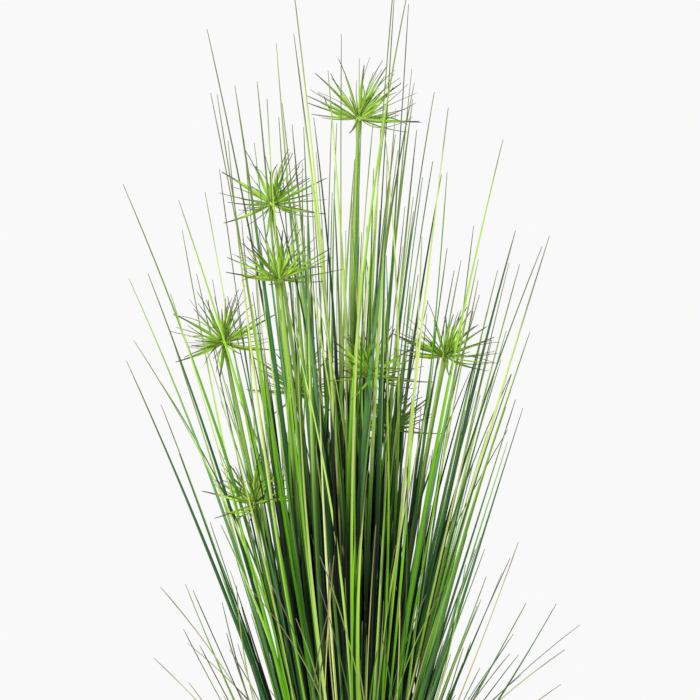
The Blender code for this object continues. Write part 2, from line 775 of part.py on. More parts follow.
def stem_route(head, place):
    """Centres of a stem's rings, from its peg's top to just under its hub."""
    foot = np.array([*place, BLADE_START])
    depth = waist_depth(place[1], head.depth * CM, DRAWN_AT, head.z * CM)
    waist = np.array([head.stem_x * CM, depth, DRAWN_AT])
    hub_base = HUB_RADIUS * HUB_FLAT + GAP
    tip = np.array([head.x * CM, head.depth * CM, head.z * CM - hub_base])
    return through(foot, waist, tip, (0.0, *STEM_RINGS))


def make_stem(name, place, route):
    bm, faces = peg_solid(place)
    bmesh.ops.dissolve_faces(bm, faces=faces)
    bm.faces.ensure_lookup_table()
    top = max(bm.faces, key=lambda face: face.calc_center_median().z)
    bmesh.ops.inset_region(bm, faces=[top], thickness=PEG_RADIUS * (1 - STEM_FOOT_SHARE))
    for k in range(1, len(route)):
        top = bmesh.ops.extrude_discrete_faces(bm, faces=[top])["faces"][0]
        above = route[k + 1] if k < len(route) - 1 else route[k] + (0, 0, 1)
        below = route[k - 1] if k < len(route) - 1 else route[k]
        tilt = Vector((0, 0, 1)).rotation_difference(Vector(above - below))
        middle = top.calc_center_median()
        for vert in top.verts:
            out = vert.co - middle
            out.z = 0
            vert.co = Vector(route[k]) + tilt @ (out.normalized() * STEM_RADIUS)
    keep(name, bm, STEM_GREEN, "stem")


def hub_directions(skirt):
    """Where rays point from a hub: (angle from the head's axis, turn about it), most of them outward."""
    shares = (np.arange(RAYS_IN_A_HEAD) + 0.5) / RAYS_IN_A_HEAD
    least, most = np.radians((LEAST_TILT, skirt))
    tilts = least + (most - least) * shares**RAY_CROWDING
    turns = np.arange(RAYS_IN_A_HEAD) * GOLDEN_ANGLE
    return list(zip(tilts, turns))


def pointing(tilt, turn):
    return np.array([math.sin(tilt) * math.cos(turn), math.sin(tilt) * math.sin(turn), math.cos(tilt)])


def head_axis(head):
    return Vector((head.lean[0], head.lean[1], 1)).normalized()


def ray_route(hub, frame, tilt, turn, reach):
    """A ray's root, middle and tip: a steep one bends outward as it rises, and a flat one bends up."""
    root = frame @ pointing(tilt, turn)
    root[2] = max(root[2], LOWEST_ROOT)
    start = hub + root / np.linalg.norm(root) * HUB_RADIUS
    bend = RAY_BEND * (1 - tilt / math.radians(STRAIGHT_TILT))
    middle = start + frame @ (pointing(tilt - bend, turn) * reach / 2)
    tip = middle + frame @ (pointing(tilt + bend, turn) * reach / 2)
    return np.array([start, middle, tip])


def hub_solid(hub):
    """A small round hub with a flat underside, and the faces that rays can grow from."""
    bm = bmesh.new()
    bmesh.ops.create_icosphere(bm, subdivisions=2, radius=HUB_RADIUS, matrix=Matrix.Translation(hub))
    flat = hub[2] - HUB_RADIUS * HUB_FLAT
    for vert in bm.verts:
        vert.co.z = max(vert.co.z, flat)
    return bm, [face for face in bm.faces if face.calc_center_median().z > flat + GAP]


def make_head(name, head, hub, peg, thicket, chance):
    """A hub and its rays, each turned or shortened a little until it stands clear."""
    frame = np.array(Vector((0, 0, 1)).rotation_difference(head_axis(head)).to_matrix())
    bm, free = hub_solid(hub)
    bars = []
    for tilt, turn in hub_directions(head.skirt):
        reach = head.reach * CM * chance.uniform(*RAY_REACHES)
        for swing, short in SWINGS:
            route = ray_route(hub, frame, tilt, turn + swing, reach * short)
            if thicket.room(route, RAY_WIDTH / 2, peg) < CLEARANCE:
                continue
            face = min(free, key=lambda f: (f.calc_center_median() - Vector(route[0])).length)
            middle = face.calc_center_median()
            below = [middle.lerp(corner, RAY_FOOT) for corner in corners_of(face)]
            level = Vector(route[1] - hub).cross(Vector((0, 0, 1)))
            side = nearest_edge(below, level)
            above = matched(ring(route[1], route[2] - route[0], side, RAY_WIDTH), below)
            bar = sleeve(below, above)
            if crosses(bar, bars):
                continue
            free.remove(face)
            bars.append(bar)
            thicket.add(route, RAY_WIDTH / 2, peg)
            grow_solid(bm, face, route, [RAY_WIDTH], side)
            break
    keep(name, bm, HEAD_GREEN, "head")


def plan_tufts(chance):
    """Every tuft as (tone, blades), the drawn ones first."""
    planned = [(tuft.tone, drawn_blades(tuft, chance)) for tuft in TUFTS]
    for tone, bearing, reach, height in BACK_TUFTS:
        planned.append((tone, back_blades(tone, bearing, reach, height, chance)))
    return planned


def wanted_places(tufts):
    """Where each stem and tuft would best stand, from where it is 30 cm up."""
    wanted = [(head.stem_x * CM * STEM_PLACE[0], head.depth * CM * STEM_PLACE[1]) for head in HEADS]
    for _, blades in tufts:
        tips = np.mean([tip for tip, _, _ in blades], axis=0)
        waists = np.mean([waist for _, waist, _ in blades], axis=0)
        lean = (DRAWN_AT - BLADE_START) / (waists[2] - BLADE_START)
        wanted.append((waists[0] * lean * TUFT_PLACE[0], tips[1] * TUFT_PLACE[1]))
    return np.array(wanted)


def build():
    clear_scene()
    chance = np.random.default_rng(SEED)
    tufts = plan_tufts(chance)
    places = places_for(wanted_places(tufts))
    make_pot()
    make_soil(places)

    thicket = Thicket()
    for peg, place in enumerate(places):
        upright = np.array([[*place, SOIL_TOP], [*place, BLADE_START]])
        thicket.add(upright, PEG_RADIUS, peg)

    hubs = []
    for peg, head in enumerate(HEADS):
        route = stem_route(head, places[peg])
        make_stem(f"papyrus_stem_{peg + 1}", places[peg], route)
        hub = np.array([head.x, head.depth, head.z]) * CM
        thicket.add(route, STEM_RADIUS, peg)
        thicket.add(np.array([hub, hub + (0, 0, MM)]), HUB_RADIUS, peg)
        hubs.append(hub)

    numbers = dict.fromkeys(TONES, 0)
    for peg, (tone, blades) in enumerate(tufts, len(HEADS)):
        numbers[tone] += 1
        make_tuft(f"{tone}_tuft_{numbers[tone]:02d}", tone, peg, places[peg], blades, thicket, chance)

    for peg, (head, hub) in enumerate(zip(HEADS, hubs)):
        make_head(f"papyrus_head_{peg + 1}", head, hub, peg, thicket, chance)


build()
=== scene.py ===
# %% [markdown]
# # A potted papyrus among grass
#
# Nine round stems rise from one pot, and each carries a head of thin rays. Long narrow blades of grass
# stand close about them, deep green and lime, with a few pale ones, and thin dry strands lean out low
# down.
#
# The solid model gives every stem, head and tuft its place. Here each one is made again with finer forms:
# blades with a folded section and hair-thin ends, heads with many rays, ribbed stems, crumbly soil.

import math
from typing import NamedTuple

import bmesh
import bpy
import numpy as np
from mathutils import Matrix, Vector


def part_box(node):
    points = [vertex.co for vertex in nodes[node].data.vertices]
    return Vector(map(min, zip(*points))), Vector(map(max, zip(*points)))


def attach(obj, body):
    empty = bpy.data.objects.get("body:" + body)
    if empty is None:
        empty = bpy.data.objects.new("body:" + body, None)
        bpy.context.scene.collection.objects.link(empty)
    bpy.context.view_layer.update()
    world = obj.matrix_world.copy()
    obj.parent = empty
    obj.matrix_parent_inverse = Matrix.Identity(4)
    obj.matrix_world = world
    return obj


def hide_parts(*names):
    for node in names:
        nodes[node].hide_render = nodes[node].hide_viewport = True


CM = 0.01
MM = 0.001

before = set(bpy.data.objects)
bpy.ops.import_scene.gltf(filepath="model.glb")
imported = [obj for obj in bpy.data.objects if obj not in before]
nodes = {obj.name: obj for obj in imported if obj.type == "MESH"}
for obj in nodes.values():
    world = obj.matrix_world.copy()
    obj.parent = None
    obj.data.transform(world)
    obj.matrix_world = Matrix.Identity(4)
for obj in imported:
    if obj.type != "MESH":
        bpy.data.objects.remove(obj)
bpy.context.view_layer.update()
chance = np.random.default_rng(27)

# %% [markdown]
# ## Reading the lines of growth
#
# A blade of the solid model is a bar with three flat sides and three rings below its tip. The middles of
# the rings lie on one smooth curve, so its exact course can be found again from them. Each fine blade
# then grows along that curve, and not along the straight pieces between the rings.

# %% A line of growth
SOIL_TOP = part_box("soil")[1].z

# The blades of a tuft leave its peg here, and fine ones go on down to their root in the soil
PEG_TOP = SOIL_TOP + 10 * MM
ROOT = SOIL_TOP - 5 * MM

# About the height over which a line turns straight down at its foot
FOOT_BEND = 6 * MM


class Line(NamedTuple):
    """The course of a blade or stem from foot to tip: a curve in x and one in y, each over the height."""

    curve_x: np.ndarray
    curve_y: np.ndarray
    foot_z: float
    tip_z: float
    width: float
    side: float

    def at(self, height):
        """Points of the line at some heights. Towards its foot it bends to go straight down."""
        inside = self.foot_z + FOOT_BEND * np.logaddexp(0, (height - self.foot_z) / FOOT_BEND)
        return np.column_stack([np.polyval(self.curve_x, inside), np.polyval(self.curve_y, inside), height])


def line_through(points, width, side):
    """The line through some points, from its foot to its tip. side is the way that its broad side runs."""
    points = np.array(points)
    curves = [np.polyfit(points[:, 2], points[:, axis], 2) for axis in (0, 1)]
    return Line(*curves, points[0, 2], points[-1, 2], width, side)


print("the soil's top is", round(SOIL_TOP / CM, 1), "cm up")

# %% Reading the solids
# What counts as above a peg, as level with its top, and as one corner
ABOVE_PEG = PEG_TOP + 2 * MM
LEVEL = 0.1 * MM
CORNERS_JOIN = 0.02 * MM

# The sides and rings of a blade's bar, the sides of a stem's rod, and the radius of a fine stem
BAR_SIDES = 3
BAR_RINGS = 3
ROD_SIDES = 6
STEM_RADIUS = 2.3 * MM


def merged(node):
    """A copy of a solid with its corners joined."""
    bm = bmesh.new()
    bm.from_mesh(node.data)
    bmesh.ops.remove_doubles(bm, verts=bm.verts, dist=CORNERS_JOIN)
    return bm


def islands(verts):
    """The groups of vertices that edges join, each from its lowest vertex up."""
    left = set(verts)
    groups = []
    while left:
        stack = [left.pop()]
        group = list(stack)
        while stack:
            for edge in stack.pop().link_edges:
                for vert in edge.verts:
                    if vert in left:
                        left.remove(vert)
                        stack.append(vert)
                        group.append(vert)
        groups.append(sorted(group, key=lambda vert: vert.co.z))
    return groups


def middle(verts):
    """The mean place of some vertices."""
    return np.mean([vert.co[:] for vert in verts], axis=0)


def blade_lines(node):
    """The line of every blade of a tuft, with its bar's width and the way that the widest side runs."""
    bm = merged(node)
    lines = []
    for group in islands(vert for vert in bm.verts if vert.co.z > ABOVE_PEG):
        rings = [group[k * BAR_SIDES : (k + 1) * BAR_SIDES] for k in range(BAR_RINGS)]
        tip = group[BAR_RINGS * BAR_SIDES :]
        feet = {edge.other_vert(vert) for vert in rings[0] for edge in vert.link_edges} - set(group)
        corners = [vert.co for vert in rings[1]]
        edges = [b - a for a, b in zip(corners, corners[1:] + corners[:1])]
        widest = max(edges, key=lambda edge: edge.length)
        side = math.atan2(widest.y, widest.x) % math.pi
        if side >= math.pi / 2:
            side -= math.pi
        points = [middle(feet), *(middle(ring) for ring in rings), middle(tip)]
        lines.append(line_through(points, widest.length, side))
    bm.free()
    return sorted(lines, key=lambda line: (line.tip_z, line.width))


def stem_line(node):
    """The line of a stem."""
    bm = merged(node)
    group = islands(vert for vert in bm.verts if vert.co.z > ABOVE_PEG)[0]
    foot = middle([vert for vert in bm.verts if abs(vert.co.z - PEG_TOP) < LEVEL])
    rings = [middle(group[k : k + ROD_SIDES]) for k in range(0, len(group), ROD_SIDES)]
    bm.free()
    return line_through([foot, *rings], 2 * STEM_RADIUS, 0)


tufts = {name: blade_lines(nodes[name]) for name in sorted(nodes) if "_tuft_" in name}
stems = {name: stem_line(nodes[name]) for name in sorted(nodes) if "_stem_" in name}
blade_count = sum(len(lines) for lines in tufts.values())
print(blade_count, "blades in", len(tufts), "tufts, and", len(stems), "stems")

# %% [markdown]
# ## Shared steps
#
# A fine blade or ray is a strip with a fold along its middle. It could be a curve with a flat bevel, but
# that has no fold and no map of its own. So it is made as a flat grid, two squares wide, with its own map
# (across, along), and its vertices then move onto the line. A tint and the place where the end starts to
# fade are kept with its vertices, and the finish reads them.

# %% Strips
class Strips:
    """One mesh of many folded strips, with a map and two values for the finish."""

    def __init__(self, along):
        self.bm = bmesh.new()
        self.along = along
        self.map = self.bm.loops.layers.uv.new("strip")
        self.tint = self.bm.verts.layers.float.new("tint")
        self.tip = self.bm.verts.layers.float.new("tip")
        self.count = 0

    def add(self, centres, sides, backs, widths, fold, tint, tip):
        """A strip along the centres. sides and backs are unit directions at each centre."""
        grid = bmesh.ops.create_grid(self.bm, x_segments=2, y_segments=self.along, size=0.5, calc_uvs=True)
        for vert in grid["verts"]:
            across = vert.co.x
            row = round((vert.co.y + 0.5) * self.along)
            out = sides[row] * (across * widths[row])
            deep = backs[row] * (fold * widths[row] * (0.5 - abs(across)))
            vert.co = centres[row] + out + deep
            vert[self.tint] = tint
            vert[self.tip] = tip
        self.count += 1

    def piece(self, name, finish, thickness):
        """The mesh as a named piece, with a little thickness."""
        for face in self.bm.faces:
            face.smooth = True
        thing = made(name, self.bm, finish)
        solid = thing.modifiers.new("thickness", "SOLIDIFY")
        solid.thickness = thickness
        solid.offset = 0
        return thing


def made(name, bm, finish):
    """A finished mesh as an object of the scene."""
    mesh = bpy.data.meshes.new(name)
    bm.to_mesh(mesh)
    bm.free()
    mesh.materials.append(finish)
    thing = bpy.data.objects.new(name, mesh)
    bpy.context.scene.collection.objects.link(thing)
    return thing


def stands_for(thing, node):
    """The piece takes the place of a solid and rides on the one body."""
    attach(thing, "root")
    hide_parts(node)


def unit(rows):
    """Directions of length one."""
    return rows / np.linalg.norm(rows, axis=-1, keepdims=True)


print("3 across and 4 up is", unit(np.array([3.0, 4.0])), "at length one")

# %% [markdown]
# ## Finishes
#
# Colours are given as the real plant shows them in a picture, 0 to 255. The lamps here brighten a surface
# to about twice its own colour, so each colour is halved on its way into a material.
#
# A material is a web of small nodes. The class below holds one while it is made, with a method for each
# kind of node.

# %% Colours
LIT = 0.5


def colour(red, green, blue):
    """A colour given as it looks in the picture, from the curve that screens use to its share of light."""
    shares = np.array([red, green, blue]) / 255
    linear = np.where(shares <= 0.04045, shares / 12.92, ((shares + 0.055) / 1.055) ** 2.4)
    return (*(float(value) * LIT for value in linear), 1.0)


def grey(share):
    """A plain grey that sends back this share of the light."""
    return (share, share, share, 1.0)


print("a leaf green is", [round(value, 3) for value in colour(99, 152, 90)[:3]])

# %% A material under construction
SHEEN = 0.16


class Finish:
    """A material under construction."""

    def __init__(self, name, roughness):
        self.material = bpy.data.materials.new(name)
        self.material.use_nodes = True
        self.tree = self.material.node_tree
        self.shader = self.tree.nodes["Principled BSDF"]
        self.shader.inputs["Roughness"].default_value = roughness
        self.shader.inputs["Specular IOR Level"].default_value = SHEEN

    def add(self, kind, **settings):
        """A new node of some kind."""
        node = self.tree.nodes.new(kind)
        for key, value in settings.items():
            setattr(node, key, value)
        return node

    def link(self, source, target):
        """Joins an output to an input."""
        self.tree.links.new(source, target)

    def feed(self, socket, value):
        """Links a socket to another's output, or sets its value."""
        if isinstance(value, bpy.types.NodeSocket):
            self.link(value, socket)
        else:
            socket.default_value = value

    def math(self, operation, first, second=0.0, third=0.0):
        """A sum, product or other result of up to three values."""
        node = self.add("ShaderNodeMath", operation=operation)
        for socket, value in zip(node.inputs, (first, second, third)):
            self.feed(socket, value)
        return node.outputs[0]

    def mix(self, share, first, second, how="MIX"):
        """A colour that goes from the first to the second as the share rises."""
        node = self.add("ShaderNodeMix", data_type="RGBA", blend_type=how)
        self.feed(node.inputs["Factor"], share)
        self.feed(node.inputs["A"], first)
        self.feed(node.inputs["B"], second)
        return node.outputs["Result"]

    def smooth(self, value, low, high, least=0.0, most=1.0):
        """A value that goes softly from least to most while another goes from low to high."""
        node = self.add("ShaderNodeMapRange", interpolation_type="SMOOTHSTEP")
        names = ("Value", "From Min", "From Max", "To Min", "To Max")
        for name, given in zip(names, (value, low, high, least, most)):
            self.feed(node.inputs[name], given)
        return node.outputs["Result"]

    def ramp(self, value, shades):
        """The colour at some place of a ramp, which is a table of places and colours."""
        node = self.add("ShaderNodeValToRGB")
        elements = node.color_ramp.elements
        while len(elements) < len(shades):
            elements.new(0.5)
        for element, (place, shade) in zip(elements, shades.items()):
            element.position = place
            element.color = colour(*shade)
        self.feed(node.inputs["Fac"], value)
        return node.outputs["Color"]

    def kept(self, name):
        """A value kept with the vertices."""
        node = self.add("ShaderNodeAttribute", attribute_type="GEOMETRY", attribute_name=name)
        return node.outputs["Fac"]

    def place(self):
        """The place on the object, in metres."""
        return self.add("ShaderNodeTexCoord").outputs["Object"]

    def split(self, vector):
        """The three parts of a vector."""
        node = self.add("ShaderNodeSeparateXYZ")
        self.link(vector, node.inputs[0])
        return node.outputs

    def joined(self, x, y, z):
        """A vector from its three parts."""
        node = self.add("ShaderNodeCombineXYZ")
        for socket, value in zip(node.inputs, (x, y, z)):
            self.feed(socket, value)
        return node.outputs[0]

    def times(self, shade, red, green, blue):
        """A colour made lighter or darker in each of its parts."""
        return self.mix(1.0, shade, (red, green, blue, 1.0), "MULTIPLY")

    def noise(self, vector, scale, detail=2.0, rough=0.5):
        """A soft random pattern. A larger scale makes it finer."""
        node = self.add("ShaderNodeTexNoise")
        self.link(vector, node.inputs["Vector"])
        node.inputs["Scale"].default_value = scale
        node.inputs["Detail"].default_value = detail
        node.inputs["Roughness"].default_value = rough
        return node.outputs["Fac"]

    def bump(self, height, strength, distance):
        """A fine relief. distance is how high it rises, in metres."""
        node = self.add("ShaderNodeBump")
        node.inputs["Strength"].default_value = strength
        node.inputs["Distance"].default_value = distance
        self.link(height, node.inputs["Height"])
        self.link(node.outputs["Normal"], self.shader.inputs["Normal"])

    def paint(self, shade, roughness=None):
        """Gives the shader its colour, and a roughness that changes over the surface."""
        self.link(shade, self.shader.inputs["Base Color"])
        if roughness is not None:
            self.link(roughness, self.shader.inputs["Roughness"])


print("a sheen of", SHEEN, "on every finish")

# %% [markdown]
# ## How a leaf is coloured
#
# A leaf's green changes from blade to blade, along each blade and across it. The colour starts from a
# ramp that the blade's tint picks from. Higher up the pick moves on along the ramp, because the leaves
# are riper and yellower there. Long streaks follow the veins; they are partly the leaf's own streaks and
# partly painted gloss highlights. One half of the folded blade is painted paler than the other, a painted
# highlight for the lit side of the fold. The foot is yellowed, and the end fades to brown or grey. Fine
# ribs raise the surface. A picture of a leaf could be laid on instead, but every blade would repeat it,
# and these patterns differ from blade to blade.
#
# Low in the clump, little light gets in between the blades. The lamps alone would leave too much of it,
# because this model has fewer blades than the real plant, so the finish darkens what stands near the
# plant's axis.

# %% Patterns of a leaf
# The tint is stretched by these, so that blades of nearly the same tint have patterns of their own
TINTS_APART = 61.0
LIT_HALVES_APART = 17.0
FADES_APART = 7.3

# How often a pattern changes across and along a blade, and how much of it shows. The streaks are partly
# painted gloss highlights, and the paler half is a painted highlight.
VEIN_AND_GLOSS_SCALE = (5.0, 3.0)
VEIN_AND_GLOSS_GRAIN = 1.6
VEINS_AND_GLOSS_SHOW = (0.35, 0.68, 0.0, 0.45)
LIT_HALF_SHOWS = 0.8
SPOTS = (3.0, 40.0)

# How far the start of fading moves, over what share of the rest it goes on, and how far it gets
SPOT_REACH = 0.06
FADES_OVER = 0.75
FADED_MOST = 0.92


def scaled(finish, across, along, sizes):
    """The two parts of a leaf's map, made larger or smaller."""
    return (finish.math("MULTIPLY", part, size) for part, size in zip((across, along), sizes))


def own_share(finish, tint, step):
    """A share from 0 to 1 that differs from blade to blade."""
    return finish.math("FRACT", finish.math("MULTIPLY", tint, step))


def vein_and_gloss_streaks(finish, across, along, apart):
    """Streaks far longer than they are wide, different on each blade: partly the leaf's own streaks, partly
    painted gloss highlights.
    """
    place = finish.joined(*scaled(finish, across, along, VEIN_AND_GLOSS_SCALE), apart)
    return finish.smooth(finish.noise(place, VEIN_AND_GLOSS_GRAIN), *VEINS_AND_GLOSS_SHOW)


def lit_half_highlight(finish, across, tint):
    """One half of a folded blade, on some the left one and on others the right one. It is painted paler, a
    painted highlight for the lit side of the fold.
    """
    flip = finish.math("GREATER_THAN", own_share(finish, tint, LIT_HALVES_APART), 0.5)
    half = finish.math("ABSOLUTE", finish.math("SUBTRACT", finish.math("GREATER_THAN", across, 0.5), flip))
    return finish.math("MULTIPLY", half, LIT_HALF_SHOWS)


def fading(finish, across, along, apart, tip):
    """How far the end has faded. It starts a little sooner or later across the blade."""
    place = finish.joined(*scaled(finish, across, along, SPOTS), apart)
    spots = finish.smooth(finish.noise(place, 1.0), 0.0, 1.0, -SPOT_REACH, SPOT_REACH)
    start = finish.math("ADD", tip, spots)
    left = finish.math("SUBTRACT", 1.0, start)
    end = finish.math("ADD", start, finish.math("MULTIPLY", left, FADES_OVER))
    return finish.smooth(along, start, end, 0.0, FADED_MOST)


print("ends fade by", FADED_MOST, "at most")

# %% Light between the blades
# The clump is a cone that opens upward, less deep than it is wide
DEPTH_WISE = 1.35
SPREAD_AT_ZERO = 0.015
SPREAD_RISE = 0.30

# Light grows between two shares of the cone's radius, and between two heights
OUTER = (0.46, 0.64)
OPEN_ABOVE = (0.42, 0.72)


def daylight(finish, x, y, height):
    """How much light gets in between the blades: little near the plant's axis, all where they open."""
    deep = finish.math("MULTIPLY", y, DEPTH_WISE)
    squares = finish.math("ADD", finish.math("MULTIPLY", x, x), finish.math("MULTIPLY", deep, deep))
    spread = finish.math("MULTIPLY_ADD", height, SPREAD_RISE, SPREAD_AT_ZERO)
    outward = finish.math("DIVIDE", finish.math("SQRT", squares), spread)
    return finish.math("MAXIMUM", finish.smooth(outward, *OUTER), finish.smooth(height, *OPEN_ABOVE))


shade_across = 2 * OUTER[0] * (SPREAD_AT_ZERO + SPREAD_RISE * 40 * CM)
print("40 cm up, the full shade is", round(shade_across / CM), "cm across")

# %% The finish of a leaf
# Leaves ripen between these heights, each by its tint and a little more
RIPENING = (0.38, 0.84)
RIPER = 0.09

# What colours are multiplied by where they are paler, where slowly duller, and in the clump's shade. The
# paler places are painted highlights: the lit half wholly, the streaks in part
HIGHLIGHT_PALER = (1.40, 1.40, 1.25)
SLOW_SHADE = (0.72, 0.80, 0.60)
IN_SHADE = (0.045, 0.085, 0.04)

# The slow change along a blade, the low shade and the yellowed foot: where and how much they show
SLOW_ALONG = 6.0
SLOW_SHOWS = (0.45, 0.75, 0.0, 0.35)
LOW_DOWN = (0.28, 0.72, 1.0, 0.0)
FOOT_SHOWS = (0.75, 0.0)

RIB_STRENGTH = 0.35
RIB_HEIGHT = 0.08 * MM
FADED_ROUGHER = 0.2


def strip_finish(
    name, greens, ends, foot, roughness=0.42, ribs=9, foot_ends=(0.03, 0.15), shaded=None,
    yellowed=0.0, paler=HIGHLIGHT_PALER,
):
    """The finish of blades, rays and stems. greens and ends are ramps that the tint picks from.

    shaded multiplies the colour low in the plant, and where it is given there is also less light between
    the blades. yellowed moves the pick along the ramp high in the plant, and paler multiplies the colour of
    the streaks and of the paler half: the paler half is a painted highlight, and the streaks are partly
    painted gloss highlights.
    """
    finish = Finish(name, roughness)
    across, along, _ = finish.split(finish.add("ShaderNodeUVMap", uv_map="strip").outputs["UV"])
    x, y, height = finish.split(finish.place())
    tint, tip = finish.kept("tint"), finish.kept("tip")
    apart = finish.math("MULTIPLY", tint, TINTS_APART)

    # The green of this blade at this height
    riper = finish.math("ADD", tint, RIPER)
    picked = finish.math("MULTIPLY_ADD", riper, finish.smooth(height, *RIPENING, 0.0, yellowed), tint)
    green = finish.ramp(picked, greens)

    # Veins, partly painted gloss highlights, and the paler half, a painted highlight
    shade = finish.mix(vein_and_gloss_streaks(finish, across, along, apart), green, finish.times(green, *paler))
    shade = finish.mix(lit_half_highlight(finish, across, tint), shade, finish.times(shade, *paler))

    # Slow changes along the blade, the shade low in the plant, and the yellowed foot
    slow = finish.noise(finish.joined(apart, finish.math("MULTIPLY", along, SLOW_ALONG), 0.0), 1.0)
    shade = finish.mix(finish.smooth(slow, *SLOW_SHOWS), shade, finish.times(shade, *SLOW_SHADE))
    if shaded:
        shade = finish.mix(finish.smooth(height, *LOW_DOWN), shade, finish.times(shade, *shaded))
        shade = finish.mix(daylight(finish, x, y, height), finish.times(shade, *IN_SHADE), shade)
    shade = finish.mix(finish.smooth(along, *foot_ends, *FOOT_SHOWS), shade, colour(*foot))

    # The faded end, ribs across, and a surface that is a little duller where it is faded
    faded = fading(finish, across, along, apart, tip)
    shade = finish.mix(faded, shade, finish.ramp(own_share(finish, tint, FADES_APART), ends))
    ripple = finish.math("SINE", finish.math("MULTIPLY", across, 2 * math.pi * ribs))
    finish.bump(ripple, RIB_STRENGTH, RIB_HEIGHT)
    finish.paint(shade, finish.smooth(faded, 0.0, 1.0, roughness, roughness + FADED_ROUGHER))
    return finish.material


print("leaves ripen between", *RIPENING, "m up")

# %% [markdown]
# The four kinds of blade have ramps of their own. Three of them start almost black: that end is painted
# shade, for the blades that stand inside the clump and for the few others of the lowest tints. The deep
# ones then run through leaf greens to a yellow-green that only ripe ends reach, and the lime ones from
# grass green to a pale yellow-green. The pale ones are nearly cream at their lightest. Thin low strands
# go from green to tan, straw and grey-brown. Rays end in purple and brown.

# %% Finishes of blades, stems and heads
DULL_ENDS = {0.0: (128, 146, 70), 0.35: (96, 96, 66), 0.65: (160, 180, 88), 1.0: (92, 120, 68)}
LOOKS = {
    "deep_blade": {
        "greens": {
            # The stops at 0.0 and 0.08, almost black, are painted shade
            0.0: (3, 9, 5), 0.08: (8, 22, 10), 0.20: (34, 72, 34), 0.36: (57, 105, 56),
            0.56: (79, 131, 76), 0.76: (99, 152, 90), 0.90: (132, 188, 68), 1.0: (182, 220, 108),
        },
        "ends": DULL_ENDS,
        "foot": (120, 118, 60),
        "shaded": (0.94, 0.96, 0.92),
        "yellowed": 0.48,
    },
    "lime_blade": {
        "greens": {
            # The stops at 0.0 and 0.08, almost black, are painted shade
            0.0: (3, 9, 4), 0.08: (8, 22, 8), 0.16: (38, 82, 24), 0.28: (84, 156, 20),
            0.55: (126, 199, 28), 0.80: (167, 215, 76), 1.0: (200, 223, 130),
        },
        "ends": DULL_ENDS,
        "foot": (170, 190, 90),
        "shaded": (0.84, 0.89, 0.76),
        "yellowed": 1.2,
        # paler here sets the lime blades' painted highlight on the streaks and the lit half
        "paler": (1.46, 1.36, 1.20),
    },
    "pale_blade": {
        "greens": {
            # The stops at 0.0 and 0.08, almost black, are painted shade
            0.0: (3, 9, 4), 0.08: (8, 22, 8), 0.25: (150, 208, 66), 0.5: (192, 228, 110),
            1.0: (226, 242, 166),
        },
        "ends": DULL_ENDS,
        "foot": (205, 210, 130),
        "shaded": (0.92, 0.96, 0.8),
    },
    "straw_blade": {
        "greens": {
            0.0: (34, 70, 34), 0.30: (84, 120, 62), 0.50: (150, 192, 84),
            0.70: (180, 158, 122), 0.84: (208, 210, 130), 1.0: (112, 98, 84),
        },
        "ends": {0.0: (120, 112, 98), 0.5: (158, 132, 120), 1.0: (108, 116, 104)},
        "foot": (150, 130, 84),
        "roughness": 0.6,
        "ribs": 4,
    },
    "stem": {
        "greens": {0.0: (118, 162, 60), 0.5: (144, 186, 80), 1.0: (130, 164, 72)},
        "ends": {0.0: (150, 186, 80), 1.0: (160, 190, 90)},
        "foot": (150, 150, 80),
        "ribs": 14,
        "shaded": (0.50, 0.76, 0.42),
    },
    "head": {
        "greens": {0.0: (120, 178, 28), 0.5: (154, 210, 44), 1.0: (188, 228, 84)},
        "ends": {0.0: (68, 40, 48), 0.4: (84, 64, 60), 0.7: (76, 40, 54), 1.0: (96, 86, 66)},
        "foot": (206, 240, 110),
        "ribs": 3,
        "foot_ends": (0.05, 0.5),
    },
}
FINISHES = {name: strip_finish(name, **look) for name, look in LOOKS.items()}
print(len(FINISHES), "finishes for the plant")

# %% [markdown]
# ## One blade
#
# A blade is narrow at its foot, broadest a little below its middle, and ends as a hair. It turns a little
# on itself, so light runs along it in bands, and sways about its line. Rows of its grid are closer
# together near the foot, where it bends most.

# %% One blade
ALONG = 26
CLOSER_AT_FOOT = 1.3
ROWS = np.linspace(0, 1, ALONG + 1) ** CLOSER_AT_FOOT

# Shares of the height, and of the full width there
PROFILE_AT = (0.0, 0.06, 0.27, 0.45, 0.60, 0.72, 0.82, 0.92, 1.0)
PROFILE = (0.62, 0.74, 0.94, 1.00, 0.88, 0.66, 0.48, 0.32, 0.20)
FOOT_END = 0.4
THINNEST = 1.15 * MM
BLUNT = 0.6 * MM

# How often a blade swings in x and y, how far in shares of its sway, and from which height in full
WAVES = (7.0, 5.0)
SWINGS = (0.2, 1.0)
SWINGS_FULL_AT = 80 * CM
UNTURNED_AT = 0.4
FOLDS = (0.3, 0.75)


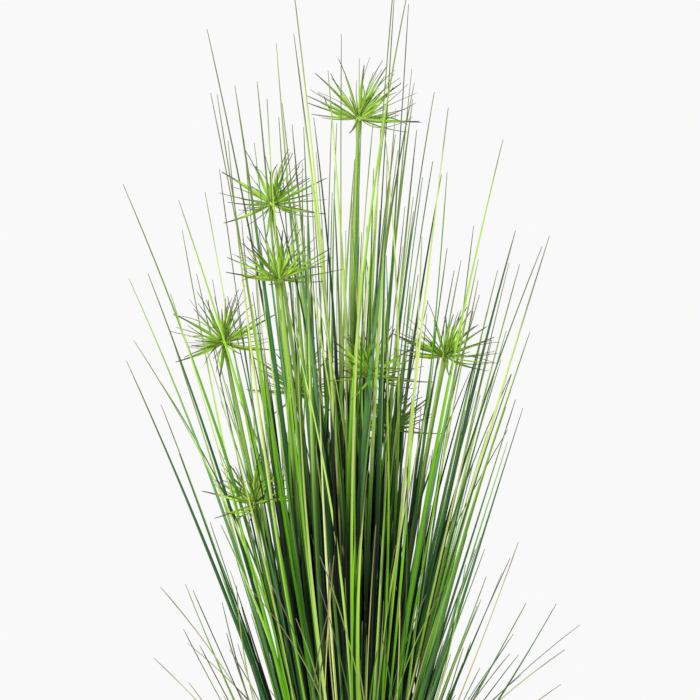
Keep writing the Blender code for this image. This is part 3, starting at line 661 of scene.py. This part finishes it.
def grow(strips, line, foot, width, tip_z, drift, facing, twist, tint, tip, bend=1.3, sway=1 * MM):
    """One blade beside a line.

    foot is the share of its width that is left at its foot. drift is how far aside it has strayed at its
    tip, and a low bend strays early. facing and twist turn it about its line, and sway is how far it
    swings to and fro.
    """
    heights = ROOT + (tip_z - ROOT) * ROWS
    rise = np.clip((heights - PEG_TOP) / (tip_z - PEG_TOP), 0, 1)
    centres = line.at(heights)
    centres[:, :2] += np.outer(rise**bend, drift)
    starts = chance.uniform(0, 2 * math.pi, 2)
    swings = chance.uniform(*SWINGS, 2) * sway * min(1.0, (tip_z - ROOT) / SWINGS_FULL_AT)
    centres[:, :2] += swings * np.sin(starts + np.outer(rise, WAVES)) * rise[:, None]
    along = unit(np.gradient(centres, axis=0))
    turn = facing + twist * (ROWS - UNTURNED_AT)
    sides = np.column_stack([np.cos(turn), np.sin(turn), np.zeros(ALONG + 1)])
    sides = unit(sides - along * (sides * along).sum(axis=1, keepdims=True))
    backs = np.cross(along, sides)
    widths = width * np.interp(ROWS, PROFILE_AT, PROFILE) * np.interp(ROWS, (0, FOOT_END), (foot, 1))
    widths = np.maximum(widths, THINNEST)
    widths[-1] = BLUNT
    strips.add(centres, sides, backs, widths, chance.uniform(*FOLDS), tint, tip)


print("a blade has", 2 * ALONG, "squares")

# %% [markdown]
# ## Tufts of grass
#
# A real tuft has far more blades than the solid one. Each blade of the solid model is made first, on its
# own line. Thinner ones then grow beside it from the same foot: they stray from it as they rise, lean
# less than it does, and end lower. Short ones lean outward low down. Broad ones stand inside, dark with
# painted shade, and close the view through the clump as the real plant's many inner leaves do. Copies
# of a few blades would be lighter, but the eye finds what repeats.
#
# A small table holds how the four colours of tuft differ.

# %% Habits of the tufts
class Habit(NamedTuple):
    """How the tufts of one colour grow.

    beside is the number of thinner blades by each blade of the solid, and short and inner are the numbers
    of such blades in a tuft. foot is the share of its width that a blade has at its foot. tints is the
    range of tint of the solid's blades, and side_tints that of the thinner and the short ones. share is
    what a blade of the solid keeps of its bar's width. spread is how far the thinner ones stray, and where
    dry is true they are thin as straw.
    """

    beside: int
    short: int
    inner: int
    foot: float
    tints: tuple
    side_tints: tuple
    share: float
    spread: float
    dry: bool


HABITS = {
    "deep": Habit(2, 5, 6, 0.85, (0.12, 1.0), (0.05, 1.0), 0.95, 2.4 * CM, False),
    "lime": Habit(1, 1, 4, 0.45, (0.0, 1.0), (0.0, 0.5), 0.66, 2.0 * CM, False),
    "pale": Habit(1, 0, 4, 0.42, (0.30, 1.0), (0.0, 0.80), 0.85, 1.6 * CM, False),
    "straw": Habit(1, 0, 0, 1.00, (0.0, 1.0), (0.0, 1.0), 0.54, 0.5 * CM, True),
}
print(len(HABITS), "habits of growth")

# %% Main blades
MAIN_FADES = (0.76, 0.96)
TALL = 100 * CM
TALL_FADES = 0.12
MAIN_FACES = 0.6
CALM_TWIST = 0.4


def main_blade(strips, line, habit, tint):
    """A blade on the line of a solid one. The ends of the tallest fade from lower down."""
    tip = chance.uniform(*MAIN_FADES) - (TALL_FADES if line.tip_z > TALL else 0)
    width = line.width * habit.share
    facing, twist = line.side * MAIN_FACES, chance.normal(0, CALM_TWIST)
    grow(strips, line, habit.foot, width, line.tip_z, (0, 0), facing, twist, tint, tip)


print("main blades fade from", *MAIN_FADES, "of their height up")

# %% Thinner blades beside them
DRY_WIDTH = 1.2 * MM
SIDE_SHARE = (0.55, 0.95)
SIDE_LEAST = 3.0 * MM
SIDE_HEIGHT = (0.60, 0.98)
SIDE_FADES = (0.86, 0.98)
SIDE_FACES = 0.9
SIDE_BEND = (0.7, 1.6)
SIDE_SWAY = 4 * MM
FREE_TWIST = 0.5

# How far they stray in shares of the habit's spread, how much of it in depth, and how much less they lean
STRAY = (0.7, 1.8)
STRAY_DEPTH = 0.7
LEANS_LESS = 0.42


def lean_of(line, tip_z):
    """How far aside of its foot a line is at some height."""
    low, high = line.at(np.array([PEG_TOP, tip_z]))[:, :2]
    return high - low


def turned(faces, twist):
    """A random way to face, and a random twist."""
    return chance.uniform(-faces, faces), chance.normal(0, twist)


def side_blade(strips, line, habit):
    """A thinner blade from the same foot, which strays to a side and leans less than its line."""
    width = DRY_WIDTH if habit.dry else max(line.width * chance.uniform(*SIDE_SHARE), SIDE_LEAST)
    tip_z = ROOT + (line.tip_z - ROOT) * chance.uniform(*SIDE_HEIGHT)
    turn = chance.uniform(0, 2 * math.pi)
    way = np.array([math.cos(turn), STRAY_DEPTH * math.sin(turn)])
    aside = way * chance.uniform(*STRAY) * habit.spread
    drift = aside - lean_of(line, tip_z) * abs(chance.normal(0, LEANS_LESS))
    facing, twist = turned(SIDE_FACES, FREE_TWIST)
    tint, tip = chance.uniform(*habit.side_tints), chance.uniform(*SIDE_FADES)
    bend = chance.uniform(*SIDE_BEND)
    grow(strips, line, habit.foot, width, tip_z, drift, facing, twist, tint, tip, bend, SIDE_SWAY)


print("thinner blades reach", *SIDE_HEIGHT, "of their line's height")

# %% Short and inner blades
# Heights, ways outward and strays are in centimetres here, and widths in millimetres
SHORT_HEIGHT = (32, 56)
SHORT_OUTWARD = (0.3, 3.0)
SHORT_STRAY = 0.8
SHORT_WIDTH = (2.6, 5.0)
SHORT_TALLEST = 0.7
SHORT_FACES = 1.0
SHORT_FADES = 0.9
SHORT_BEND = 0.8
SHORT_SWAY = 3 * MM
TO_THE_RIGHT = (1.0 * CM, 0)

INNER_HEIGHT = (44, 72)
INNER_STRAY = 1.0
INNER_WIDTH = (4.5, 9.0)
INNER_TALLEST = 0.88
INNER_INWARD = (0.5, 0.9)
INNER_FACES = 0.7
# Inner blades take the dark end of the ramps: their colour is painted shade
INNER_SHADE_TINTS = (0, 0.3)
INNER_FADES = 0.95


def short_blade(strips, lines, habit):
    """A short blade that leans outward, and a little to the right."""
    line = lines[chance.integers(len(lines))]
    tip_z = min(chance.uniform(*SHORT_HEIGHT) * CM, SHORT_TALLEST * line.tip_z)
    outward = unit(lean_of(line, tip_z)) * chance.uniform(*SHORT_OUTWARD) * CM
    drift = outward + TO_THE_RIGHT + chance.normal(0, SHORT_STRAY, 2) * CM
    width = chance.uniform(*SHORT_WIDTH) * MM
    facing, twist = turned(SHORT_FACES, FREE_TWIST)
    tint = chance.uniform(*habit.side_tints)
    shape = (SHORT_FADES, SHORT_BEND, SHORT_SWAY)
    grow(strips, line, 1.0, width, tip_z, drift, facing, twist, tint, *shape)


def inner_shade_blade(strips, lines):
    """A broad dark blade that strays inward, towards the plant's axis. Its dark tint is painted shade."""
    line = lines[chance.integers(len(lines))]
    tip_z = min(chance.uniform(*INNER_HEIGHT) * CM, INNER_TALLEST * line.tip_z)
    foot_place = line.at(np.array([PEG_TOP]))[0, :2]
    inward = -chance.uniform(*INNER_INWARD) * (lean_of(line, tip_z) + foot_place)
    drift = inward + chance.normal(0, INNER_STRAY, 2) * CM
    width = chance.uniform(*INNER_WIDTH) * MM
    facing, twist = turned(INNER_FACES, CALM_TWIST)
    tint = chance.uniform(*INNER_SHADE_TINTS)
    grow(strips, line, 1.0, width, tip_z, drift, facing, twist, tint, INNER_FADES)


print("short blades end from", *SHORT_HEIGHT, "and inner ones from", *INNER_HEIGHT, "cm up")

# %% Tufts
# Steps of the golden section spread the tints evenly, however many blades there are
GOLDEN = 0.618
LEAF_THICKNESS = 0.35 * MM


def tuft_piece(name, lines):
    """All blades of one tuft as one piece."""
    tone = name.split("_")[0]
    habit = HABITS[tone]
    strips = Strips(ALONG)
    start = chance.uniform(0, 1)
    for number, line in enumerate(lines):
        tint = np.interp((start + GOLDEN * number) % 1.0, (0, 1), habit.tints)
        main_blade(strips, line, habit, tint)
        for _ in range(habit.beside):
            side_blade(strips, line, habit)
    for _ in range(habit.short):
        short_blade(strips, lines, habit)
    for _ in range(habit.inner):
        inner_shade_blade(strips, lines)
    piece = strips.piece(f"{name}_blades", FINISHES[f"{tone}_blade"], LEAF_THICKNESS)
    stands_for(piece, name)
    return strips.count


print(sum(tuft_piece(name, lines) for name, lines in tufts.items()), "fine blades")

# %% [markdown]
# ## Stems
#
# A papyrus stem is round, smooth and almost straight, and widens a little under its head. A curve with a
# round bevel would give the tube, but not the map that the finish needs. So a plain cylinder is cut into
# rings, and each ring then moves onto the stem's line. Its ribs are faint, so they are left to the
# finish.

# %% Stems
STEM_SIDES = 12
STEM_RINGS = 40
STEM_FADES = 0.92

# Shares of its radius: at its foot, what it loses up to its top, and what the collar under its head adds
FOOT_WIDER = 1.12
NARROWS = 0.2
COLLAR_FROM = 0.985
COLLAR_WIDER = 0.70


def tube(name, centres, radii, finish, tint):
    """A closed tube along the centres, mapped around and along."""
    bm = bmesh.new()
    layer = bm.loops.layers.uv.new("strip")
    tint_layer = bm.verts.layers.float.new("tint")
    tip_layer = bm.verts.layers.float.new("tip")
    rings = len(centres) - 1
    upward = Matrix.Translation((0, 0, 0.5))
    bmesh.ops.create_cone(
        bm, cap_ends=True, segments=STEM_SIDES, radius1=1, radius2=1, depth=1, matrix=upward
    )
    uprights = [edge for edge in bm.edges if abs(edge.verts[0].co.z - edge.verts[1].co.z) > 0.5]
    bmesh.ops.subdivide_edges(bm, edges=uprights, cuts=rings - 1, use_grid_fill=True)
    for face in bm.faces:
        face.smooth = len(face.verts) == 4
        places = [loop.vert.co for loop in face.loops]
        turns = [(math.atan2(place.y, place.x) / (2 * math.pi) + 0.25) % 1.0 for place in places]
        wraps = max(turns) - min(turns) > 0.5
        for loop, turn in zip(face.loops, turns):
            loop[layer].uv = (turn + 1 if wraps and turn < 0.5 else turn, loop.vert.co.z)
    along = unit(np.gradient(centres, axis=0))
    for vert in bm.verts:
        row = round(vert.co.z * rings)
        tilt = Vector((0, 0, 1)).rotation_difference(Vector(along[row]))
        flat = Vector((vert.co.x, vert.co.y, 0)) * radii[row]
        vert.co = Vector(centres[row]) + tilt @ flat
        vert[tint_layer] = tint
        vert[tip_layer] = STEM_FADES
    return made(name, bm, finish)


hub_feet = {}
for name, line in stems.items():
    heights = np.linspace(ROOT, line.tip_z, STEM_RINGS + 1)
    share = (heights - ROOT) / (line.tip_z - ROOT)
    collar = np.clip((share - COLLAR_FROM) / (1 - COLLAR_FROM), 0, 1) ** 2
    radii = STEM_RADIUS * (FOOT_WIDER - NARROWS * share + COLLAR_WIDER * collar)
    stem = tube(f"{name}_fine", line.at(heights), radii, FINISHES["stem"], chance.uniform(0, 1))
    stands_for(stem, name)
    hub_feet[name.replace("stem", "head")] = line.at(np.array([line.tip_z]))[0]
print(len(stems), "stems")

# %% [markdown]
# ## Heads of rays
#
# A head is a burst of thin leaves from one point, flat below and domed above. The rays of the solid model
# set its shape. Each of them is made again, and finer ones grow between neighbours, the lowest rising or
# drooping a little, with a few short upright ones in the middle. Hair would give thin rays too, but these
# are small leaves, so they are folded strips like the blades. A ray is broadest below its middle and ends
# in a thin brown or purple tip. All start inside a small ball that closes the hub.

# %% One ray
RAY_ALONG = 10
RAY_ROWS = np.linspace(0, 1, RAY_ALONG + 1)

# Shares of the length, and of the full width there
RAY_AT = (0.0, 0.10, 0.30, 0.50, 0.70, 1.0)
RAY_PROFILE = (0.54, 0.76, 1.00, 0.88, 0.48, 0.22)
RAY_START = 3.6 * MM
RAY_ROLL = 0.9
RAY_FOLDS = (0.4, 0.8)
HUB_SOLID = 6 * MM


def rays_of(node, hub):
    """The middle and the tip of each ray of a solid head, from its hub, always in the same order."""
    bm = merged(node)
    far = [vert for vert in bm.verts if (vert.co - Vector(hub)).length > HUB_SOLID]
    rays = []
    for group in islands(far):
        group.sort(key=lambda vert: (vert.co - Vector(hub)).length)
        rays.append((middle(group[:BAR_SIDES]) - hub, middle(group[BAR_SIDES:]) - hub))
    bm.free()
    return sorted(rays, key=lambda ray: tuple(np.round(ray[1], 5)))


def ray(strips, hub, half, end, width, droop, tint, tip):
    """One ray, on the arc from inside the hub's ball through its middle to its end."""
    start = unit(half) * RAY_START
    s = RAY_ROWS[:, None]
    path = start * (1 - s) * (1 - 2 * s) + half * 4 * s * (1 - s) + end * s * (2 * s - 1)
    path[:, 2] -= droop * RAY_ROWS**2
    along = unit(np.gradient(path, axis=0))
    level = unit(np.cross(along, (0.0, 0.0, 1.0)) + 1e-6)
    upright = np.cross(along, level)
    roll = chance.normal(0, RAY_ROLL)
    sides = level * math.cos(roll) + upright * math.sin(roll)
    backs = upright * math.cos(roll) - level * math.sin(roll)
    widths = width * np.interp(RAY_ROWS, RAY_AT, RAY_PROFILE)
    strips.add(hub + path, sides, backs, widths, chance.uniform(*RAY_FOLDS), tint, tip)


print("a ray has", 2 * RAY_ALONG, "squares")

# %% Finer rays
# Widths and droop are in millimetres here. A ray fades from a share of its length
NEIGHBOURS = (1, 4)
BETWEEN = (0.25, 0.75)
BETWEEN_LENGTH = (0.72, 1.0)
BETWEEN_WIDTH = (2.0, 3.3)
BETWEEN_FADES = (0.30, 0.58)
END_STRAYS = 0.07
MIDDLE_STRAYS = 0.03
LOW_RAYS = 0.35
DROOP = (-1, 5)

SHORT_RAY_LEAN = 0.45
SHORT_RAY_LENGTH = (0.35, 0.65)
SHORT_RAY_WIDTH = (1.5, 2.2)
SHORT_RAY_TINTS = (0, 0.6)
SHORT_RAY_FADES = (0.6, 0.8)


def ray_between(strips, hub, rays, reach):
    """A finer ray somewhere between a ray of the solid and one of the three nearest to it."""
    first = chance.integers(len(rays))
    ways = [np.linalg.norm(unit(rays[first][1]) - unit(end)) for _, end in rays]
    second = np.argsort(ways)[chance.integers(*NEIGHBOURS)]
    share = chance.uniform(*BETWEEN)
    long = chance.uniform(*BETWEEN_LENGTH)
    half, end = (one * (1 - share) + other * share for one, other in zip(rays[first], rays[second]))
    end = unit(unit(end) + chance.normal(0, END_STRAYS, 3)) * reach * long
    half = half * long + chance.normal(0, MIDDLE_STRAYS, 3) * reach
    droop = chance.normal(*DROOP) * MM if end[2] < LOW_RAYS * reach else 0
    width = chance.uniform(*BETWEEN_WIDTH) * MM
    tint, tip = chance.uniform(0, 1), chance.uniform(*BETWEEN_FADES)
    ray(strips, hub, half, end, width, droop, tint, tip)


def short_ray(strips, hub, reach):
    """A short ray in the middle of the head, nearly upright."""
    way = unit(np.array([*chance.normal(0, SHORT_RAY_LEAN, 2), 1.0]))
    end = way * (reach * chance.uniform(*SHORT_RAY_LENGTH))
    width = chance.uniform(*SHORT_RAY_WIDTH) * MM
    tint, tip = chance.uniform(*SHORT_RAY_TINTS), chance.uniform(*SHORT_RAY_FADES)
    ray(strips, hub, end / 2, end, width, 0, tint, tip)


print("finer rays are", *BETWEEN_WIDTH, "mm wide")

# %% Heads
RAYS_BETWEEN = 38
SHORT_RAYS = 8
FULL_WIDTH = (3.5, 4.5)
FULL_FADES = (0.32, 0.56)
RAY_THICKNESS = 0.3 * MM
HUB_RISE = 2.9 * MM
CORE_RADIUS = 4.6 * MM
CORE_LOWER = 0.6 * MM
CORE_VALUE = 0.9


def head_piece(name, foot):
    """All rays of one head, with the ball at its hub, as one piece."""
    hub = foot + (0, 0, HUB_RISE)
    rays = rays_of(nodes[name], hub)
    reach = np.mean([np.linalg.norm(end) for _, end in rays])
    strips = Strips(RAY_ALONG)
    for half, end in rays:
        width = chance.uniform(*FULL_WIDTH) * MM
        tint, tip = chance.uniform(0, 1), chance.uniform(*FULL_FADES)
        ray(strips, hub, half, end, width, 0, tint, tip)
    for _ in range(RAYS_BETWEEN):
        ray_between(strips, hub, rays, reach)
    for _ in range(SHORT_RAYS):
        short_ray(strips, hub, reach)
    low = Matrix.Translation(hub - (0, 0, CORE_LOWER))
    core = bmesh.ops.create_icosphere(strips.bm, subdivisions=2, radius=CORE_RADIUS, matrix=low)
    for vert in core["verts"]:
        vert[strips.tint] = CORE_VALUE
        vert[strips.tip] = CORE_VALUE
    piece = strips.piece(f"{name}_rays", FINISHES["head"], RAY_THICKNESS)
    stands_for(piece, name)
    return strips.count


print(sum(head_piece(name, foot) for name, foot in hub_feet.items()), "rays")

# %% [markdown]
# ## The pot
#
# A nursery pot is moulded from black plastic in one shot: a tapered wall, a deeper band round the rim,
# rounded edges and a foot ring. It could be a tapered cylinder with bevels, but one outline spun round
# the axis gives all of these forms at once.

# %% Pot
POT_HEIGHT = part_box("pot")[1].z
POT_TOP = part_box("pot")[1].x
POT_FOOT = 62 * MM
RIM = 14 * MM
RIM_STEP = 3 * MM
WALL = 2.5 * MM
WALL_TOP = POT_TOP - RIM_STEP
POT_AROUND = 128
SEAM = 0.01 * MM

# The underside and the inner floor, and the radii of the rounded edges
UNDERSIDE = 3 * MM
INNER_FLOOR = 4 * MM
FOOT_ROUND = 1.6 * MM
EDGE_ROUND = 1.2 * MM
LIP_ROUND = 1.0 * MM


def wall(height):
    """The outer radius of the tapered wall."""
    return POT_FOOT + (WALL_TOP - POT_FOOT) * height / POT_HEIGHT


def arc(centre, radius, start, end, steps):
    """Points of an arc from one angle to another, in degrees."""
    turns = np.radians(np.linspace(start, end, steps))
    return [(centre[0] + radius * math.cos(turn), centre[1] + radius * math.sin(turn)) for turn in turns]


def pot_outline():
    """The outline as (radius, height), from the middle of the underside to that of the inner floor."""
    rim_foot = POT_HEIGHT - RIM
    underside = [(0, UNDERSIDE), (POT_FOOT - 9 * MM, UNDERSIDE)]
    foot_ring = [(POT_FOOT - 7.5 * MM, 0.4 * MM), (POT_FOOT - 6.5 * MM, 0)]
    foot_ring += arc((POT_FOOT - FOOT_ROUND, FOOT_ROUND), FOOT_ROUND, -90, -5, 5)
    outer_wall = [(wall(height), height) for height in np.linspace(8 * MM, rim_foot - 1.5 * MM, 12)]
    band = arc((wall(rim_foot) + 1.8 * MM, rim_foot + 0.4 * MM), EDGE_ROUND, -100, -10, 5)
    lip = arc((POT_TOP - EDGE_ROUND, POT_HEIGHT - EDGE_ROUND), EDGE_ROUND, 0, 90, 5)
    lip += arc((WALL_TOP - 2 * LIP_ROUND, POT_HEIGHT - LIP_ROUND), LIP_ROUND, 90, 170, 4)
    inside = [(wall(height) - WALL, height) for height in (POT_HEIGHT - 20 * MM, INNER_FLOOR)]
    return [*underside, *foot_ring, *outer_wall, *band, *lip, *inside, (0, INNER_FLOOR)]


def spun(bm, outline, steps):
    """A closed body of an outline spun once round the plant's axis."""
    points = [bm.verts.new((radius, 0, height)) for radius, height in outline]
    edges = [bm.edges.new(pair) for pair in zip(points, points[1:])]
    turn = {"cent": (0, 0, 0), "axis": (0, 0, 1), "angle": 2 * math.pi, "steps": steps}
    bmesh.ops.spin(bm, geom=points + edges, use_merge=True, **turn)
    bmesh.ops.remove_doubles(bm, verts=bm.verts, dist=SEAM)


bm = bmesh.new()
spun(bm, pot_outline(), POT_AROUND)
bmesh.ops.recalc_face_normals(bm, faces=bm.faces)
for face in bm.faces:
    face.smooth = True
print("pot", round(POT_TOP * 200, 1), "cm across,", len(bm.faces), "faces")

# %% [markdown]
# The plastic is matt and dark grey rather than black. Old dust lies on it in soft clouds, small scuffs
# are paler, and a fine grain from the mould breaks up its sheen.

# %% Pot plastic
PLASTIC = colour(38, 39, 40)
DUST = colour(66, 64, 60)
SCUFFED = colour(90, 88, 84)
GRAIN_HEIGHT = 0.15 * MM

# Each noise has its scale, its detail and its roughness
GRAIN = (900.0, 3.0, 0.6)
CLOUDS = (14.0, 4.0, 0.6)
SCUFFS = (60.0, 6.0, 0.7)

plastic = Finish("pot_plastic", 0.5)
object_place = plastic.place()
grain = plastic.noise(object_place, *GRAIN)
dust = plastic.smooth(plastic.noise(object_place, *CLOUDS), 0.4, 0.75, 0.0, 0.35)
scuffs = plastic.smooth(plastic.noise(object_place, *SCUFFS), 0.58, 0.78)
dusty = plastic.mix(dust, PLASTIC, DUST)
scuffed = plastic.mix(plastic.math("MULTIPLY", scuffs, 0.3), dusty, SCUFFED)
plastic.paint(scuffed, plastic.smooth(grain, 0.3, 0.7, 0.42, 0.6))
plastic.bump(grain, 0.25, GRAIN_HEIGHT)
pot = made("pot_shell", bm, plastic.material)
stands_for(pot, "pot")
print(len(plastic.tree.nodes), "nodes in the plastic")

# %% [markdown]
# ## Soil
#
# Potting soil is dark, uneven and crumbly. Its top is a disc of fine rings pushed up and down, closed by
# a plug below, and a few hundred crumbs of bark and earth lie on it between the tufts. Bump alone would
# leave its edge against the pot flat, so the lumps and crumbs are real ones.

# %% Soil
TO_WALL = 2.8 * MM
SOIL_EDGE = wall(SOIL_TOP) - TO_WALL
SOIL_LOW = 4.3 * MM
SOIL_SINK = 2.2 * MM
SOIL_DISH = 2.5 * MM
LUMP = 0.8 * MM
JITTER = 0.3
RINGS = 22
AROUND = 96

# How many crumbs, how large in millimetres, how long, flat, tilted and rough, and how far out
CRUMBS = 420
CRUMB_SIZE = (0.7, 2.4)
CRUMB_LONG = (0.8, 1.9)
CRUMB_FLAT = (0.4, 0.8)
CRUMB_TILT = 0.5
CRUMB_ROUGH = 0.15
CRUMBS_WITHIN = 0.94


def ground(x, y):
    """Height of the soil's top. It is lumpy, and sinks a little towards the pot."""
    far = math.hypot(x, y) / SOIL_EDGE
    lumps = math.sin(x * 310 + 1.3) * math.cos(y * 270 - 0.4)
    lumps += 0.6 * math.sin(x * 720 - y * 640)
    lumps += 0.4 * math.cos(y * 1130 + x * 350)
    return SOIL_TOP - SOIL_SINK - SOIL_DISH * far**3 + LUMP * lumps


def crumb(bm):
    """A crumb somewhere on the ground: a small ball, flattened, turned and knocked out of round."""
    radius = SOIL_EDGE * math.sqrt(chance.uniform(0, CRUMBS_WITHIN))
    turn = chance.uniform(0, 2 * math.pi)
    x, y = radius * math.cos(turn), radius * math.sin(turn)
    size = chance.uniform(*CRUMB_SIZE) * MM
    spot = Matrix.Translation((x, y, ground(x, y) + 0.2 * size))
    spin = Matrix.Rotation(chance.uniform(0, 6.28), 4, "Z")
    spin = spin @ Matrix.Rotation(chance.uniform(-CRUMB_TILT, CRUMB_TILT), 4, "X")
    long, flat = size * chance.uniform(*CRUMB_LONG), size * chance.uniform(*CRUMB_FLAT)
    shape = Matrix.Diagonal((long, size, flat, 1))
    ball = bmesh.ops.create_icosphere(bm, subdivisions=1, radius=1, matrix=spot @ spin @ shape)
    for vert in ball["verts"]:
        vert.co += Vector(chance.uniform(-CRUMB_ROUGH, CRUMB_ROUGH, 3) * size)


bm = bmesh.new()
outline = [(0, SOIL_LOW), (wall(SOIL_LOW) - TO_WALL, SOIL_LOW)]
outline += [(wall(height) - TO_WALL, height) for height in np.linspace(20 * MM, SOIL_TOP - 6 * MM, 6)]
outline += [(SOIL_EDGE * share, SOIL_TOP - 3 * MM) for share in np.linspace(1, 0, RINGS)]
spun(bm, outline, AROUND)
for vert in bm.verts:
    if vert.co.z > SOIL_TOP - 4 * MM:
        vert.co.z = ground(vert.co.x, vert.co.y) + chance.uniform(-JITTER, JITTER) * MM
for _ in range(CRUMBS):
    crumb(bm)
bmesh.ops.recalc_face_normals(bm, faces=bm.faces)
print("soil with", CRUMBS, "crumbs,", len(bm.faces), "faces")

# %% [markdown]
# The earth is nearly black in its hollows and brown on its lumps, with small paler specks of bark. One
# noise gives both the browns and the fine relief, so that they fit each other.

# %% Earth
BROWNS = {0.3: (34, 26, 20), 0.5: (62, 47, 34), 0.7: (92, 72, 52)}
BARK = colour(138, 116, 88)
LUMPS = (160.0, 5.0, 0.7)
SPECKS = (700.0, 2.0, 0.5)

earth = Finish("earth", 0.95)
object_place = earth.place()
lumps = earth.noise(object_place, *LUMPS)
specks = earth.smooth(earth.noise(object_place, *SPECKS), 0.62, 0.72, 0.0, 0.6)
earth.paint(earth.mix(specks, earth.ramp(lumps, BROWNS), BARK))
earth.bump(lumps, 0.8, LUMP)
soil = made("soil_top", bm, earth.material)
stands_for(soil, "soil")
print(len(earth.tree.nodes), "nodes in the earth")

# %% [markdown]
# ## Floor, light and camera
#
# The plant stands on a plain pale floor in even white light, as in a studio. A large soft light stands in
# front, to the left and above, and a weak one fills in from the right. The camera looks straight at the
# plant from far off, and the lower edge of its view cuts the plant above the pot.

# %% Floor and light
FLOOR_RADIUS = 8.0
BACKDROP = 0.947
LIT_AT = (0, 0, 0.6)

floor_bm = bmesh.new()
bmesh.ops.create_circle(floor_bm, cap_ends=True, segments=128, radius=FLOOR_RADIUS)
matt = Finish("floor_matt", 0.9)
matt.paint(matt.mix(matt.noise(matt.place(), 3.0, 3.0), grey(0.58), grey(0.62)))
floor = made("floor", floor_bm, matt.material)

world = bpy.data.worlds.new("studio")
bpy.context.scene.world = world
world.use_nodes = True
backdrop = world.node_tree.nodes["Background"]
backdrop.inputs["Color"].default_value = grey(BACKDROP)
backdrop.inputs["Strength"].default_value = 1.0


def area_light(name, place, size, power):
    """A square soft light that faces the plant."""
    lamp = bpy.data.lights.new(name, "AREA")
    lamp.size = size
    lamp.energy = power
    holder = bpy.data.objects.new(name, lamp)
    holder.location = place
    holder.rotation_euler = (Vector(LIT_AT) - Vector(place)).to_track_quat("-Z", "Y").to_euler()
    bpy.context.scene.collection.objects.link(holder)


area_light("key", (-2.2, -3.4, 3.0), 1.4, 320)
area_light("fill", (3.0, -3.0, 1.2), 2.0, 20)
print("two lights and a floor", 2 * FLOOR_RADIUS, "m across")

# %% Camera
# The height that the view takes in at the plant, and where its lower edge is, in metres
SEEN = 0.819
SEEN_FROM = 0.30
DISTANCE = 12.0
SENSOR = 36

camera_data = bpy.data.cameras.new("camera")
camera_data.sensor_width = SENSOR
camera_data.lens = SENSOR * DISTANCE / SEEN
camera_data.clip_end = 200
camera = bpy.data.objects.new("camera", camera_data)
camera.location = (0, -DISTANCE, SEEN_FROM + SEEN / 2)
camera.rotation_euler = (math.pi / 2, 0, 0)
bpy.context.scene.collection.objects.link(camera)
bpy.context.scene.camera = camera
bpy.context.scene.view_settings.view_transform = "Standard"
print("the camera sees from", SEEN_FROM, "to", round(SEEN_FROM + SEEN, 3), "m up")
